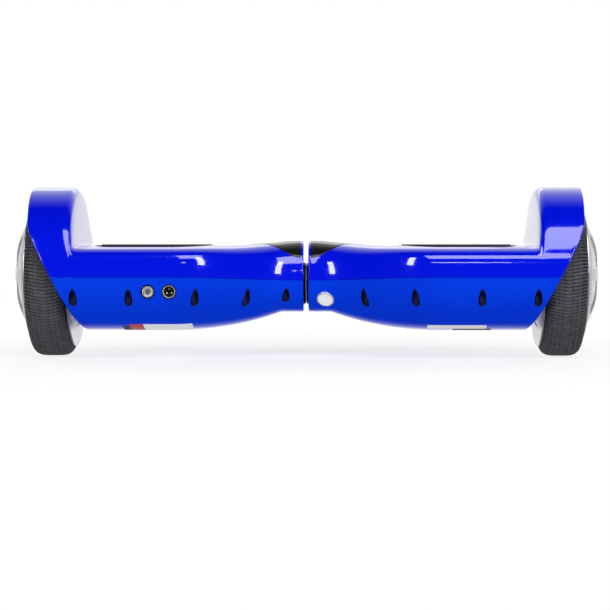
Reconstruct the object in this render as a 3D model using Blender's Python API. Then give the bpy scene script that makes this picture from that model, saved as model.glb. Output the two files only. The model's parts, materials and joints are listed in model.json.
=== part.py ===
"""Two-wheeled self-balancing board: two shell halves that twist at the waist, a hub motor in each wheel.

Lengths are in millimetres and are scaled to metres when an object is made. X runs from wheel to wheel,
Z is up, and the side with the charging socket and the power button faces -Y. The origin is on the floor
under the middle of the board. Each half is described by u, the distance from the waist plane, and by a
side: -1 is the left half, which holds the main board, and +1 is the right half, which holds the battery.
"""

import math

import bmesh
import bpy
from mathutils import Matrix, Vector

MM = 0.001
GAP = 0.3                     # clearance between pieces that touch
HALVES = {"left": -1, "right": 1}
ENDS = {"front": 1, "rear": -1}

# Shell
BODY_HALF_DEPTH = 93.0        # under the footpads, and at the wheel arches
WAIST_HALF_DEPTH = 45.0
FLARE = (8.0, 123.0)          # u where the waist starts to widen, and where it is full width
PARTING_Z = 80.5              # line between the upper and the lower cover
WAIST_PARTING_Z = 77.0
DECK_Z = 111.5
WAIST_CROWN_Z = 116.4
CROWN_FALL = (-10.0, 78.0)    # u over which the crown sinks to the deck
KEEL_Z = 26.2
WAIST_KEEL_Z = 44.5
KEEL_FALL = (25.0, 135.0)
KEEL_POWER = 2.2
WAIST_POWER = 2.6             # superellipse power of the round waist
DECK_POWER = 5.2              # and of the flat-topped deck
DECK_SQUARING = (20.0, 110.0)
LOWER_POWER = 2.4
WALL = 2.6
DECK_WALL = 8.0               # thick enough for the pocket of the footpad
DECK_THICKENING = (60.0, 85.0)
WAIST_FACE_X = 2.4
ARCH_STEPS = 16
SKIN_ROWS = (2.4, 14, 27, 40, 53, 66, 80, 95, 110, 128)

# Wheel arch
ARCH_TOP_Z = 170.0
ARCH_WALL_X = 225.7           # where the arch rises from the deck
ARCH_WALL_TOP_X = 228.5
ARCH_CORNER = 9.0
PARTITION_X = 226.0           # wall between the electronics and the wheel
EDGE_LINE = ((32.0, 222.0), (117.0, 265.5), (131.0, 270.8), (170.0, 274.5))   # z, u beside the wheel
EDGE_LIP = 1.2                # least the edge stands past the partition
AXLE_HOLE = 11.0

# Footpads
PAD_ENDS = (92.0, 207.0)
PAD_HALF_WIDTH = 68.0
PAD_WAIST_CORNER = 40.0
PAD_WHEEL_CORNER = 16.0
PAD_TOP_Z = 112.4
PAD_THICKNESS = 4.8
PAD_TRAVEL = 1.2
PAD_SENSOR = (147.0, 38.0)    # u and |y| of the blade under the pad and its light gate
BLADE = (2.0, 8.0)
BLADE_TIP_Z = 98.2

# Wheels and motors
AXLE_Z = 82.5                 # also the wheel's radius
WHEEL_STEPS = 32              # a flat of the tread lies on the floor
TYRE_X = (235.0, 275.0)
TYRE_BORE = 62.0
RIM_X = (232.5, 277.3)
HUB_CAP_X = 292.0
AXLE_RADIUS = 8.0
AXLE_X = (197.0, 275.0)
BEARING_RADIUS = 17.5
INNER_BEARING_X = (235.1, 243.1)
OUTER_BEARING_X = (267.3, 275.3)
STATOR_X = (246.0, 266.5)
STATOR_RADIUS = 53.4
STATOR_TEETH = 24
SLOT_DEPTH = 14.0
MAGNET_RADII = (54.5, 57.7)
SMALL_STEPS = 16

# Frame
PLATE_X = (85.0, 223.0)
PLATE_HALF_WIDTH = 62.0
PLATE_Z = (78.0, 82.0)
RAIL_X = (95.0, 215.0)
RAIL_Y = (57.5, 61.5)
RAIL_FOOT_Z = 50.0
SEAT_X = (196.0, 222.0)       # block that the axle is clamped down on
SEAT_HALF_WIDTH = 20.0
SEAT_FOOT_Z = 62.0
NECK_X = (50.0, 95.0)         # neck between the plate and the pivot tube
NECK_HALF_WIDTH = 32.0
LEAD_SLOT_X = (174.0, 188.0)  # the motor lead goes down through the plate here
LEAD_SLOT_HALF_WIDTH = 7.0
CLAMP_X = (199.0, 221.0)
CLAMP_TOP_Z = 95.0
BOLT_PLACE = (210.0, 14.0)
BOLT_RADIUS = 3.0
BOLT_HEAD = (5.0, 6.0)
BOLT_END_Z = 66.0
BOLT_STEPS = 8
TUBE_RADIUS = 21.0
TUBE_FACE_X = 0.8
TUBE_END = {"left": 75.0, "right": 60.0}
POST_RADIUS = 3.0
POST_STEPS = 6
BOARD_TOP_Z = 73.6
BOARD_THICKNESS = 1.6
GYRO_Z = (92.0, 93.6)
GYRO_POSTS = ((126.0, 46.0), (168.0, 46.0))
BOARD_POSTS = ((100.0, 37.0), (188.0, 37.0))

# Waist pivot
PIVOT_Z = 73.0
SHAFT_RADIUS = 12.0
SHAFT_BORE = 9.0
SHAFT_X = (-70.0, 66.0)
BUSH_RADIUS = 15.2
BUSH_X = {"inner": (3.0, 22.0), "outer": (44.0, 59.0)}
STOP_PIN_X = 33.0
STOP_PIN_RADIUS = 3.0
STOP_SLOT_HALF_WIDTH = 7.8
CIRCLIP_X = (61.0, 62.6)
CIRCLIP_RADIUS = 14.9

# Shell screws, which stand in upright channels in the lower cover
CHANNEL_X = (20.0, 58.5, 107.0, 171.0, 225.0)
CHANNEL_RADIUS = 3.9
CHANNEL_TOP_Z = 72.0
CHANNEL_MOUTH_Z = 69.7        # the channel comes out of the skin below this height
CHANNEL_STEPS = 8
BOSS_WALL = 2.0
BOSS_TOP_Z = 75.0

# Waist panels and headlights
PANEL_ENDS = (5.0, 59.0)
PANEL_HALF_WIDTH = 40.5
PANEL_THICKNESS = 1.3
PANEL_PROUD = 0.25
LAMP_X = (120.0, 178.0)
LAMP_Z = (84.5, 97.0)
LAMP_BACK_Y = 87.6

# Socket and button, on the left half
FITTING_Z = 66.6
PORT_X = -131.5
BUTTON_X = -152.0
FITTING_FACE_Y = -91.2
PORT_RADII = (5.3, 7.0, 10.0)  # bore, thread and flange
BUTTON_RADII = (4.3, 6.2, 9.0)
FLANGE_Y = (-82.0, -80.0)

# Battery and boards
BATTERY_X = (77.0, 194.5)
BATTERY_HALF_WIDTH = 46.5
BATTERY_Z = (41.0, 77.0)
BATTERY_CORNER = 9.0
STRAP_X = (130.0, 158.0)
STRAP_THICKNESS = 1.2
HARNESS_RADIUS = 3.5
MOTOR_LEAD_RADIUS = 3.0

MATERIALS = {                 # colour, roughness, metallic
    "upper_blue": ((0.004, 0.012, 0.66), 0.12, 0.0),
    "lower_blue": ((0.004, 0.05, 0.72), 0.15, 0.0),
    "gloss_black": ((0.01, 0.01, 0.012), 0.1, 0.0),
    "mat_rubber": ((0.02, 0.02, 0.022), 0.8, 0.0),
    "tyre_rubber": ((0.045, 0.045, 0.055), 0.75, 0.0),
    "alloy": ((0.8, 0.8, 0.82), 0.25, 1.0),
    "cast_aluminium": ((0.5, 0.5, 0.52), 0.5, 1.0),
    "steel": ((0.45, 0.45, 0.47), 0.35, 1.0),
    "chrome": ((0.85, 0.85, 0.87), 0.08, 1.0),
    "copper": ((0.72, 0.3, 0.13), 0.4, 1.0),
    "magnet": ((0.3, 0.3, 0.33), 0.35, 1.0),
    "circuit_board": ((0.01, 0.12, 0.04), 0.45, 0.0),
    "black_plastic": ((0.015, 0.015, 0.017), 0.45, 0.0),
    "nylon": ((0.75, 0.73, 0.66), 0.5, 0.0),
    "lamp_lens": ((0.8, 0.85, 0.9), 0.1, 0.0),
    "button_grey": ((0.35, 0.36, 0.38), 0.3, 0.0),
    "battery_wrap": ((0.02, 0.1, 0.35), 0.35, 0.0),
    "cable_sleeve": ((0.02, 0.02, 0.02), 0.6, 0.0),
}


# ---------------------------------------------------------------- scene helpers

def clear_scene():
    for obj in list(bpy.data.objects):
        bpy.data.objects.remove(obj, do_unlink=True)


def material(name):
    found = bpy.data.materials.get(name)
    if found:
        return found
    colour, roughness, metallic = MATERIALS[name]
    made = bpy.data.materials.new(name)
    made.use_nodes = True
    shader = made.node_tree.nodes["Principled BSDF"]
    shader.inputs["Base Color"].default_value = (*colour, 1.0)
    shader.inputs["Roughness"].default_value = roughness
    shader.inputs["Metallic"].default_value = metallic
    made.diffuse_color = (*colour, 1.0)
    return made


def carrier(name, origin, parent=None):
    """Empty that a rigid body's pieces hang on; its origin is on the body's joint axis."""
    empty = bpy.data.objects.new(name, None)
    bpy.context.collection.objects.link(empty)
    empty["origin"] = tuple(origin)
    shift = Vector(origin)
    if parent:
        empty.parent = parent
        shift -= Vector(parent["origin"])
    empty.location = shift * MM
    return empty


def add_piece(name, bm, finish, body):
    """Makes an object from a bmesh whose points are in the board's own frame, and hangs it on a body."""
    bmesh.ops.recalc_face_normals(bm, faces=bm.faces)
    bmesh.ops.translate(bm, vec=-Vector(body["origin"]), verts=bm.verts)
    bmesh.ops.scale(bm, vec=(MM, MM, MM), verts=bm.verts)
    mesh = bpy.data.meshes.new(name)
    bm.to_mesh(mesh)
    bm.free()
    mesh.materials.append(material(finish))
    mesh.shade_smooth()
    mesh.set_sharp_from_angle(angle=math.radians(35))
    obj = bpy.data.objects.new(name, mesh)
    bpy.context.collection.objects.link(obj)
    obj.parent = body
    return obj


def shape_with(obj, tool_bm, operation="DIFFERENCE"):
    """Adds a Boolean with a hidden tool to an object, and gives back the tool."""
    label = f"{obj.name}_tool_{len(obj.modifiers)}"
    tool = add_piece(label, tool_bm, "nylon", obj.parent)
    tool.hide_render = True
    tool.display_type = "WIRE"
    modifier = obj.modifiers.new(operation.lower(), "BOOLEAN")
    modifier.operation = operation
    modifier.solver = "EXACT"
    modifier.object = tool
    return tool


# ---------------------------------------------------------------- mesh helpers

def loft(rings):
    """Closed skin through rings of equal length, with the first and last rings filled."""
    bm = bmesh.new()
    rows = [[bm.verts.new(point) for point in ring] for ring in rings]
    count = len(rows[0])
    for low, high in zip(rows, rows[1:]):
        for i in range(count):
            j = (i + 1) % count
            bm.faces.new((low[i], low[j], high[j], high[i]))
    bm.faces.new(rows[0])
    bm.faces.new(rows[-1])
    return bm


def box(x, y, z):
    """Box between the two limits given on each axis, in any order."""
    bm = bmesh.new()
    bmesh.ops.create_cube(bm, size=1.0)
    spans = (x, y, z)
    size = Vector([abs(high - low) for low, high in spans])
    middle = Vector([(low + high) / 2 for low, high in spans])
    bmesh.ops.scale(bm, vec=size, verts=bm.verts)
    bmesh.ops.translate(bm, vec=middle, verts=bm.verts)
    return bm


def both(*meshes):
    """Several separate shapes in one bmesh."""
    joined = bmesh.new()
    for bm in meshes:
        scratch = bpy.data.meshes.new("scratch")
        bm.to_mesh(scratch)
        bm.free()
        joined.from_mesh(scratch)
        bpy.data.meshes.remove(scratch)
    return joined


def turned(profile, steps, frame, closed=True, sweep=2 * math.pi):
    """Solid turned about the frame's X axis from (x, radius) points.

    A closed profile makes a ring, and an open one starts and ends on the axis.
    """
    bm = bmesh.new()
    start = -math.pi / 2 + math.pi / steps
    points = [bm.verts.new((x, r * math.cos(start), r * math.sin(start))) for x, r in profile]
    pairs = list(zip(points, points[1:]))
    if closed:
        pairs.append((points[-1], points[0]))
    edges = [bm.edges.new(pair) for pair in pairs]
    whole = sweep >= 2 * math.pi
    bmesh.ops.spin(
        bm, geom=points + edges, cent=(0, 0, 0), axis=(1, 0, 0), angle=sweep, steps=steps, use_merge=whole
    )
    bmesh.ops.remove_doubles(bm, verts=bm.verts, dist=0.0001)
    if not whole:
        bmesh.ops.holes_fill(bm, edges=[edge for edge in bm.edges if edge.is_boundary], sides=0)
    bmesh.ops.transform(bm, matrix=frame, verts=bm.verts)
    return bm


def along_x(z):
    return Matrix.Translation((0, 0, z))


def along_y(x, z):
    return Matrix.Translation((x, 0, z)) @ Matrix.Rotation(math.radians(90), 4, "Z")


def along_z(x, y):
    return Matrix.Translation((x, y, 0)) @ Matrix.Rotation(math.radians(-90), 4, "Y")


def rod(low, high, radius, steps, frame):
    return turned([(low, 0), (low, radius), (high, radius), (high, 0)], steps, frame, closed=False)


def ring(low, high, bore, radius, steps, frame):
    return turned([(low, bore), (low, radius), (high, radius), (high, bore)], steps, frame)


def extruded(outline, low, high, lift):
    """Prism on a flat outline; lift(a, b, h) places a point of the outline at height h."""
    return loft([[lift(a, b, h) for a, b in outline] for h in (low, high)])


def mirrored_x(bm, side):
    """A shape made for the right half, moved to the given side."""
    bmesh.ops.scale(bm, vec=(side, 1, 1), verts=bm.verts)
    return bm


# ---------------------------------------------------------------- shell surface

def ease(value, span):
    """Smooth rise from 0 to 1 over a span."""
    t = min(max((value - span[0]) / (span[1] - span[0]), 0.0), 1.0)
    return t * t * (3.0 - 2.0 * t)


def half_depth(u):
    return WAIST_HALF_DEPTH + (BODY_HALF_DEPTH - WAIST_HALF_DEPTH) * ease(u, FLARE)


def parting_z(u):
    return WAIST_PARTING_Z + (PARTING_Z - WAIST_PARTING_Z) * ease(u, FLARE)


def crown_z(u):
    return WAIST_CROWN_Z + (DECK_Z - WAIST_CROWN_Z) * ease(u, CROWN_FALL)


def keel_z(u):
    t = min(max((u - KEEL_FALL[0]) / (KEEL_FALL[1] - KEEL_FALL[0]), 0.0), 1.0)
    return WAIST_KEEL_Z + (KEEL_Z - WAIST_KEEL_Z) * (1.0 - (1.0 - t) ** KEEL_POWER)


def upper_power(u):
    return WAIST_POWER + (DECK_POWER - WAIST_POWER) * ease(u, DECK_SQUARING)


def edge_x(z):
    """Distance u of the shell's edge beside the wheel, at height z."""
    for (z0, u0), (z1, u1) in zip(EDGE_LINE, EDGE_LINE[1:]):
        if z < z1:
            break
    return u0 + (u1 - u0) * (z - z0) / (z1 - z0)


def arch_point(u, angle, base, top, depth, power):
    """Point of a superellipse arch from (depth, base) over or under the middle at height top."""
    c = math.cos(angle)
    s = max(math.sin(angle), 0.0)
    y = depth * math.copysign(abs(c) ** (2 / power), c)
    return Vector((u, y, base + (top - base) * s ** (2 / power)))


def upper_skin(u, angle, inset=0.0, crown_inset=0.0):
    base = parting_z(u) + GAP / 2
    return arch_point(u, angle, base, crown_z(u) - crown_inset, half_depth(u) - inset, upper_power(u))


def upper_lining(u, angle):
    thick = WALL + (DECK_WALL - WALL) * ease(u, DECK_THICKENING)
    return upper_skin(u, angle, WALL, thick)


def lower_skin(u, angle, inset=0.0):
    base = parting_z(u) - GAP / 2
    return arch_point(u, angle, base, keel_z(u) + inset, half_depth(u) - inset, LOWER_POWER)


def wheel_arch(u, angle, top, inset=0.0):
    return arch_point(u, angle, PARTING_Z + GAP / 2, top, BODY_HALF_DEPTH - inset, 2.0)


def split_hole(u, angle, centre_z, radius, base, upward):
    """Point on a round hole that the parting plane at height base cuts in two."""
    start = math.asin((base - centre_z) / radius)
    if upward:
        turn = start + angle * (math.pi - 2 * start) / math.pi
    else:
        turn = start - angle * (math.pi + 2 * start) / math.pi
    return Vector((u, radius * math.cos(turn), centre_z + radius * math.sin(turn)))


def waist_hole(u, angle, upward):
    base = WAIST_PARTING_Z + (GAP / 2 if upward else -GAP / 2)
    return split_hole(u, angle, PIVOT_Z, TUBE_RADIUS + 2 * GAP, base, upward)


def axle_hole(u, angle, upward):
    base = PARTING_Z + (GAP / 2 if upward else -GAP / 2)
    return split_hole(u, angle, AXLE_Z, AXLE_HOLE, base, upward)


def upper_wall(angle):
    """Closed line round the upper cover's wall in one slice of its arch, the outer side first."""
    corner_x = ARCH_WALL_TOP_X + ARCH_CORNER
    corner_z = ARCH_TOP_Z - ARCH_CORNER
    inner_corner = ARCH_CORNER - WALL
    line = [upper_skin(u, angle) for u in SKIN_ROWS + (ARCH_WALL_X,)]
    for degrees in (0, 30, 60, 90):
        turn = math.radians(degrees)
        u = corner_x - ARCH_CORNER * math.cos(turn)
        line.append(wheel_arch(u, angle, corner_z + ARCH_CORNER * math.sin(turn)))
    edge = edge_x(line[-1].z)
    line.append(wheel_arch(edge, angle, ARCH_TOP_Z))
    line.append(wheel_arch(edge, angle, ARCH_TOP_Z - WALL, WALL))
    for degrees in (90, 45, 0):
        turn = math.radians(degrees)
        u = corner_x - inner_corner * math.cos(turn)
        line.append(wheel_arch(u, angle, corner_z + inner_corner * math.sin(turn), WALL))
    line.append(axle_hole(PARTITION_X + WALL, angle, True))
    line.append(axle_hole(PARTITION_X, angle, True))
    line.append(upper_lining(PARTITION_X - GAP, angle))
    line += [upper_lining(u, angle) for u in reversed(SKIN_ROWS[1:])]
    line.append(upper_lining(WAIST_FACE_X + WALL, angle))
    line.append(waist_hole(WAIST_FACE_X + WALL, angle, True))
    line.append(waist_hole(WAIST_FACE_X, angle, True))
    return line


def lower_wall(angle):
    """The same for the lower cover, whose edge follows the wheel down to the partition."""
    line = [lower_skin(u, angle) for u in SKIN_ROWS + (205.0,)]
    edge = edge_x(line[-1].z)
    well = min(PARTITION_X + WALL, edge - EDGE_LIP)
    line.append(lower_skin(edge, angle))
    line.append(lower_skin(edge, angle, WALL))
    line.append(lower_skin(well, angle, WALL))
    line.append(axle_hole(PARTITION_X + WALL, angle, False))
    line.append(axle_hole(PARTITION_X, angle, False))
    line.append(lower_skin(well - WALL, angle, WALL))
    line += [lower_skin(u, angle, WALL) for u in reversed(SKIN_ROWS[1:] + (205.0,))]
    line.append(lower_skin(WAIST_FACE_X + WALL, angle, WALL))
    line.append(waist_hole(WAIST_FACE_X + WALL, angle, False))
    line.append(waist_hole(WAIST_FACE_X, angle, False))
    return line


def swept_cover(wall, side):
    slices = [wall(math.pi * i / ARCH_STEPS) for i in range(ARCH_STEPS + 1)]
    return mirrored_x(loft(slices), side)


def crown_height(u, y):
    """Height of the upper skin over a point of its plan."""
    reach = min(abs(y) / half_depth(u), 1.0)
    power = upper_power(u)
    base = parting_z(u) + GAP / 2
    return base + (crown_z(u) - base) * (1.0 - reach ** power) ** (1.0 / power)


def side_reach(u, z):
    """Half depth of the lower skin at height z."""
    base = parting_z(u) - GAP / 2
    drop = min(max((base - z) / (base - keel_z(u)), 0.0), 1.0)
    return half_depth(u) * (1.0 - drop ** LOWER_POWER) ** (1.0 / LOWER_POWER)


# ---------------------------------------------------------------- covers and trim

def panel_patch(side, grow, below, above):
    """Leaf-shaped patch that follows the crown of the waist."""
    low, high = PANEL_ENDS
    rings = []
    rows = 6
    for i in range(rows + 1):
        t = 0.985 * i / rows
        u = low - grow + (high - low + 2 * grow) * t
        half = (PANEL_HALF_WIDTH + grow) * (1.0 - t * t)
        ys = [half * (k / 4 - 1.0) for k in range(9)]
        top = [Vector((side * u, y, crown_height(u, y) + above)) for y in ys]
        bottom = [Vector((side * u, y, crown_height(u, y) - below)) for y in reversed(ys)]
        rings.append(top + bottom)
    return loft(rings)


def pad_outline(grow):
    """Rounded rectangle of a footpad, with its large corners towards the waist."""
    low, high = PAD_ENDS[0] - grow, PAD_ENDS[1] + grow
    half = PAD_HALF_WIDTH + grow
    outline = []
    corners = (
        (high, half, PAD_WHEEL_CORNER, 0),
        (low, half, PAD_WAIST_CORNER, 90),
        (low, -half, PAD_WAIST_CORNER, 180),
        (high, -half, PAD_WHEEL_CORNER, 270),
    )
    for x, y, radius, first in corners:
        radius += grow
        centre = (x - math.copysign(radius, x - 150.0), y - math.copysign(radius, y))
        for step in range(6):
            turn = math.radians(first + 18 * step)
            outline.append((centre[0] + radius * math.cos(turn), centre[1] + radius * math.sin(turn)))
    return outline


def pad_slab(side, grow, levels):
    """Slab on the footpad's outline; levels are (z, inset) from the bottom up."""
    return loft([[Vector((side * x, y, z)) for x, y in pad_outline(grow - inset)] for z, inset in levels])


def blade_boxes(side, grow, z):
    shapes = []
    u, y = PAD_SENSOR
    for end in ENDS.values():
        half_x = BLADE[0] / 2 + grow
        half_y = BLADE[1] / 2 + grow
        shapes.append(box((side * u - half_x, side * u + half_x), (end * y - half_y, end * y + half_y), z))
    return both(*shapes)


def upper_cover(half, side, body):
    cover = add_piece(f"upper_cover_{half}", swept_cover(upper_wall, side), "upper_blue", body)
    floor = PAD_TOP_Z - PAD_THICKNESS - PAD_TRAVEL - GAP
    shape_with(cover, pad_slab(side, 2 * GAP, ((floor, 0), (PAD_TOP_Z + 10, 0))))
    shape_with(cover, blade_boxes(side, 2 * GAP, (DECK_Z - 10, floor + 1)))
    shape_with(cover, panel_patch(side, GAP, PANEL_THICKNESS + GAP, 8.0))
    window_x = (side * (LAMP_X[0] - GAP), side * (LAMP_X[1] + GAP))
    shape_with(cover, box(window_x, (80.0, 100.0), (LAMP_Z[0] - GAP, LAMP_Z[1] + GAP)))


def headlight(half, side, body):
    """Lamp lens, flush with the sloping front of the cover."""
    low, high = LAMP_Z
    depth = half_depth(LAMP_X[0])
    outline = [(LAMP_BACK_Y, low)]
    for z in (low, (low + high) / 2, high):
        rise = (z - PARTING_Z) / (DECK_Z - PARTING_Z)
        outline.append((depth * (1.0 - rise ** DECK_POWER) ** (1.0 / DECK_POWER), z))
    outline.append((LAMP_BACK_Y, high))
    lens = extruded(outline, *LAMP_X, lambda y, z, u: Vector((side * u, y, z)))
    add_piece(f"headlight_{half}", lens, "lamp_lens", body)


def channel_places():
    """Centre u and |y| of each screw channel, which touches the skin at the height of its mouth."""
    places = []
    for u in CHANNEL_X:
        reaches = []
        for step in range(13):
            turn = math.pi * step / 12
            skin = side_reach(u + CHANNEL_RADIUS * math.cos(turn), CHANNEL_MOUTH_Z)
            reaches.append(skin - CHANNEL_RADIUS * math.sin(turn))
        places.append((u, min(reaches)))
    return places


def channel_rods(side, radius, low, high):
    rods = []
    for u, y in channel_places():
        for end in ENDS.values():
            rods.append(rod(low, high, radius, CHANNEL_STEPS, along_z(side * u, end * y)))
    return both(*rods)


def lower_hull(side, inset):
    """Solid that the lower cover's skin encloses, for trimming the screw bosses."""
    rows = [3.0] + list(SKIN_ROWS[1:]) + [232.0]
    rings = []
    for u in rows:
        angles = [math.pi * i / ARCH_STEPS for i in range(ARCH_STEPS + 1)]
        rings.append([lower_skin(u, angle, inset) for angle in angles])
    return mirrored_x(loft(rings), side)


def lower_cover(half, side, body):
    cover = add_piece(f"lower_cover_{half}", swept_cover(lower_wall, side), "lower_blue", body)
    boss_rods = channel_rods(side, CHANNEL_RADIUS + BOSS_WALL, KEEL_Z, BOSS_TOP_Z)
    bosses = shape_with(cover, boss_rods, "UNION")
    shape_with(bosses, lower_hull(side, 0.7), "INTERSECT")
    shape_with(cover, channel_rods(side, CHANNEL_RADIUS, KEEL_Z - 10, CHANNEL_TOP_Z))
    return cover


# ---------------------------------------------------------------- frame

def half_box(side, x, half_width, z):
    """Box about the board's middle plane, given on the right half and moved to the given side."""
    return box((side * x[0], side * x[1]), (-half_width, half_width), z)


def axle_groove(side):
    past_seat = AXLE_X[0] - 7
    return rod(side * past_seat, side * (PLATE_X[1] + 7), AXLE_RADIUS + GAP, SMALL_STEPS, along_x(AXLE_Z))


def frame_casting(half, side, body):
    """Cast frame: a plate with side rails, a seat for the axle and the tube of the waist pivot."""
    middle_z = sum(PLATE_Z) / 2
    plate = half_box(side, PLATE_X, PLATE_HALF_WIDTH, PLATE_Z)
    frame = add_piece(f"frame_{half}", plate, "cast_aluminium", body)
    shape_with(frame, half_box(side, SEAT_X, SEAT_HALF_WIDTH, (SEAT_FOOT_Z, middle_z)), "UNION")
    shape_with(frame, axle_groove(side))
    shape_with(frame, bolt_rods(side, BOLT_RADIUS + GAP))
    shape_with(frame, half_box(side, LEAD_SLOT_X, LEAD_SLOT_HALF_WIDTH, (middle_z - 10, middle_z + 10)))
    shape_with(frame, frame_posts(half, side), "UNION")
    rail_x = (side * RAIL_X[0], side * RAIL_X[1])
    rails = [box(rail_x, (end * RAIL_Y[0], end * RAIL_Y[1]), (RAIL_FOOT_Z, middle_z)) for end in ENDS.values()]
    shape_with(frame, both(*rails), "UNION")
    neck_z = (PLATE_Z[0] - 1, PLATE_Z[1] - 1.5)
    neck = shape_with(frame, half_box(side, NECK_X, NECK_HALF_WIDTH, neck_z), "UNION")
    tube = rod(side * TUBE_FACE_X, side * TUBE_END[half], TUBE_RADIUS, SMALL_STEPS, along_x(PIVOT_Z))
    shape_with(neck, tube, "UNION")
    bore = SHAFT_RADIUS + GAP if half == "left" else BUSH_RADIUS + GAP
    shape_with(frame, rod(-side * 5, side * 90, bore, SMALL_STEPS, along_x(PIVOT_Z)))
    if half == "right":
        slot = box((STOP_PIN_X - 3.7, STOP_PIN_X + 3.7), (-STOP_SLOT_HALF_WIDTH, STOP_SLOT_HALF_WIDTH), (45, 66))
        shape_with(frame, slot)


def frame_posts(half, side):
    """Posts under the gyro board and, on the left half, over the main board."""
    posts = []
    for end in ENDS.values():
        for u, y in GYRO_POSTS:
            place = along_z(side * u, end * y)
            posts.append(rod(PLATE_Z[1] - 1, GYRO_Z[0] - GAP, POST_RADIUS, POST_STEPS, place))
        if half == "left":
            for u, y in BOARD_POSTS:
                place = along_z(side * u, end * y)
                posts.append(rod(BOARD_TOP_Z + GAP, PLATE_Z[0] + 1, POST_RADIUS, POST_STEPS, place))
    return both(*posts)


def bolt_rods(side, radius):
    """Rods for the two clamp bolts' holes, longer than the seat and the clamp together."""
    u, y = BOLT_PLACE
    low, high = SEAT_FOOT_Z - 12, CLAMP_TOP_Z + 12
    return both(*(rod(low, high, radius, BOLT_STEPS, along_z(side * u, end * y)) for end in ENDS.values()))


def axle_fittings(half, side, body):
    """Axle with the cap that clamps it on the frame's seat."""
    axle = rod(side * AXLE_X[0], side * AXLE_X[1], AXLE_RADIUS, SMALL_STEPS, along_x(AXLE_Z))
    add_piece(f"axle_{half}", axle, "steel", body)
    block = half_box(side, CLAMP_X, SEAT_HALF_WIDTH, (PLATE_Z[1] + 2 * GAP, CLAMP_TOP_Z))
    clamp = add_piece(f"axle_clamp_{half}", block, "cast_aluminium", body)
    shape_with(clamp, axle_groove(side))
    shape_with(clamp, bolt_rods(side, BOLT_RADIUS + GAP))
    u, y = BOLT_PLACE
    seat = CLAMP_TOP_Z + GAP
    radius, height = BOLT_HEAD
    socket = 0.52 * radius
    for label, end in ENDS.items():
        profile = [(BOLT_END_Z, 0), (BOLT_END_Z, BOLT_RADIUS), (seat, BOLT_RADIUS), (seat, radius)]
        profile += [(seat + height, radius), (seat + height, socket)]
        profile += [(seat + height / 2, socket), (seat + height / 2, 0)]
        bolt = turned(profile, BOLT_STEPS, along_z(side * u, end * y), closed=False)
        add_piece(f"clamp_bolt_{half}_{label}", bolt, "steel", body)


def waist_pivot(left, right):
    """Hollow shaft fixed in the left frame, which turns in two bushes in the right frame."""
    axis = along_x(PIVOT_Z)
    groove = (CIRCLIP_X[0] - GAP, CIRCLIP_X[1] + GAP)
    groove_radius = SHAFT_RADIUS - 1.1
    profile = [(SHAFT_X[0], SHAFT_BORE), (SHAFT_X[0], SHAFT_RADIUS), (groove[0], SHAFT_RADIUS)]
    profile += [(groove[0], groove_radius), (groove[1], groove_radius), (groove[1], SHAFT_RADIUS)]
    profile += [(SHAFT_X[1], SHAFT_RADIUS), (SHAFT_X[1], SHAFT_BORE)]
    shaft = add_piece("pivot_shaft", turned(profile, SMALL_STEPS, axis), "steel", left)
    pin_place = along_z(STOP_PIN_X, 0)
    shape_with(shaft, rod(50, 68, STOP_PIN_RADIUS + GAP, BOLT_STEPS, pin_place))
    pin = rod(PIVOT_Z - 19.5, PIVOT_Z - SHAFT_BORE - 0.4, STOP_PIN_RADIUS, BOLT_STEPS, pin_place)
    add_piece("pivot_stop_pin", pin, "steel", left)
    washer = ring(-0.5, 0.5, SHAFT_RADIUS + GAP, 20.0, SMALL_STEPS, axis)
    add_piece("thrust_washer", washer, "nylon", left)
    clip_profile = [(CIRCLIP_X[0], groove_radius + GAP), (CIRCLIP_X[0], CIRCLIP_RADIUS)]
    clip_profile += [(CIRCLIP_X[1], CIRCLIP_RADIUS), (CIRCLIP_X[1], groove_radius + GAP)]
    clip = turned(clip_profile, SMALL_STEPS, axis, sweep=math.radians(320))
    add_piece("pivot_circlip", clip, "steel", left)
    for label, (low, high) in BUSH_X.items():
        bush = ring(low, high, SHAFT_RADIUS + GAP, BUSH_RADIUS, SMALL_STEPS, axis)
        add_piece(f"pivot_bush_{label}", bush, "nylon", right)


# ---------------------------------------------------------------- wheels

def stator(half, side, body):
    """Toothed iron core on the axle."""
    outline = []
    pitch = 2 * math.pi / STATOR_TEETH
    root = STATOR_RADIUS - SLOT_DEPTH
    for i in range(STATOR_TEETH):
        for share, radius in ((-0.4, STATOR_RADIUS), (0.4, STATOR_RADIUS), (0.42, root), (0.58, root)):
            turn = (i + share) * pitch
            outline.append((radius * math.cos(turn), AXLE_Z + radius * math.sin(turn)))
    iron = extruded(outline, *STATOR_X, lambda y, z, u: Vector((side * u, y, z)))
    core = add_piece(f"stator_{half}", iron, "copper", body)
    bore = rod(side * (STATOR_X[0] - 5), side * (STATOR_X[1] + 5), AXLE_RADIUS + GAP, SMALL_STEPS, along_x(AXLE_Z))
    shape_with(core, bore)


def tyre_profile():
    """Tread with round shoulders; the flats of the turned tread touch the wheel's nominal radius."""
    grow = 1.0 / math.cos(math.pi / WHEEL_STEPS)
    low, high = TYRE_X
    tread = AXLE_Z * grow
    shoulder = [(low + 2, TYRE_BORE), (low, 70.0), (low + 1.2, 77.0), (low + 4.5, tread - 1.2), (low + 9, tread)]
    return shoulder + [(low + high - x, r) for x, r in reversed(shoulder)]


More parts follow.
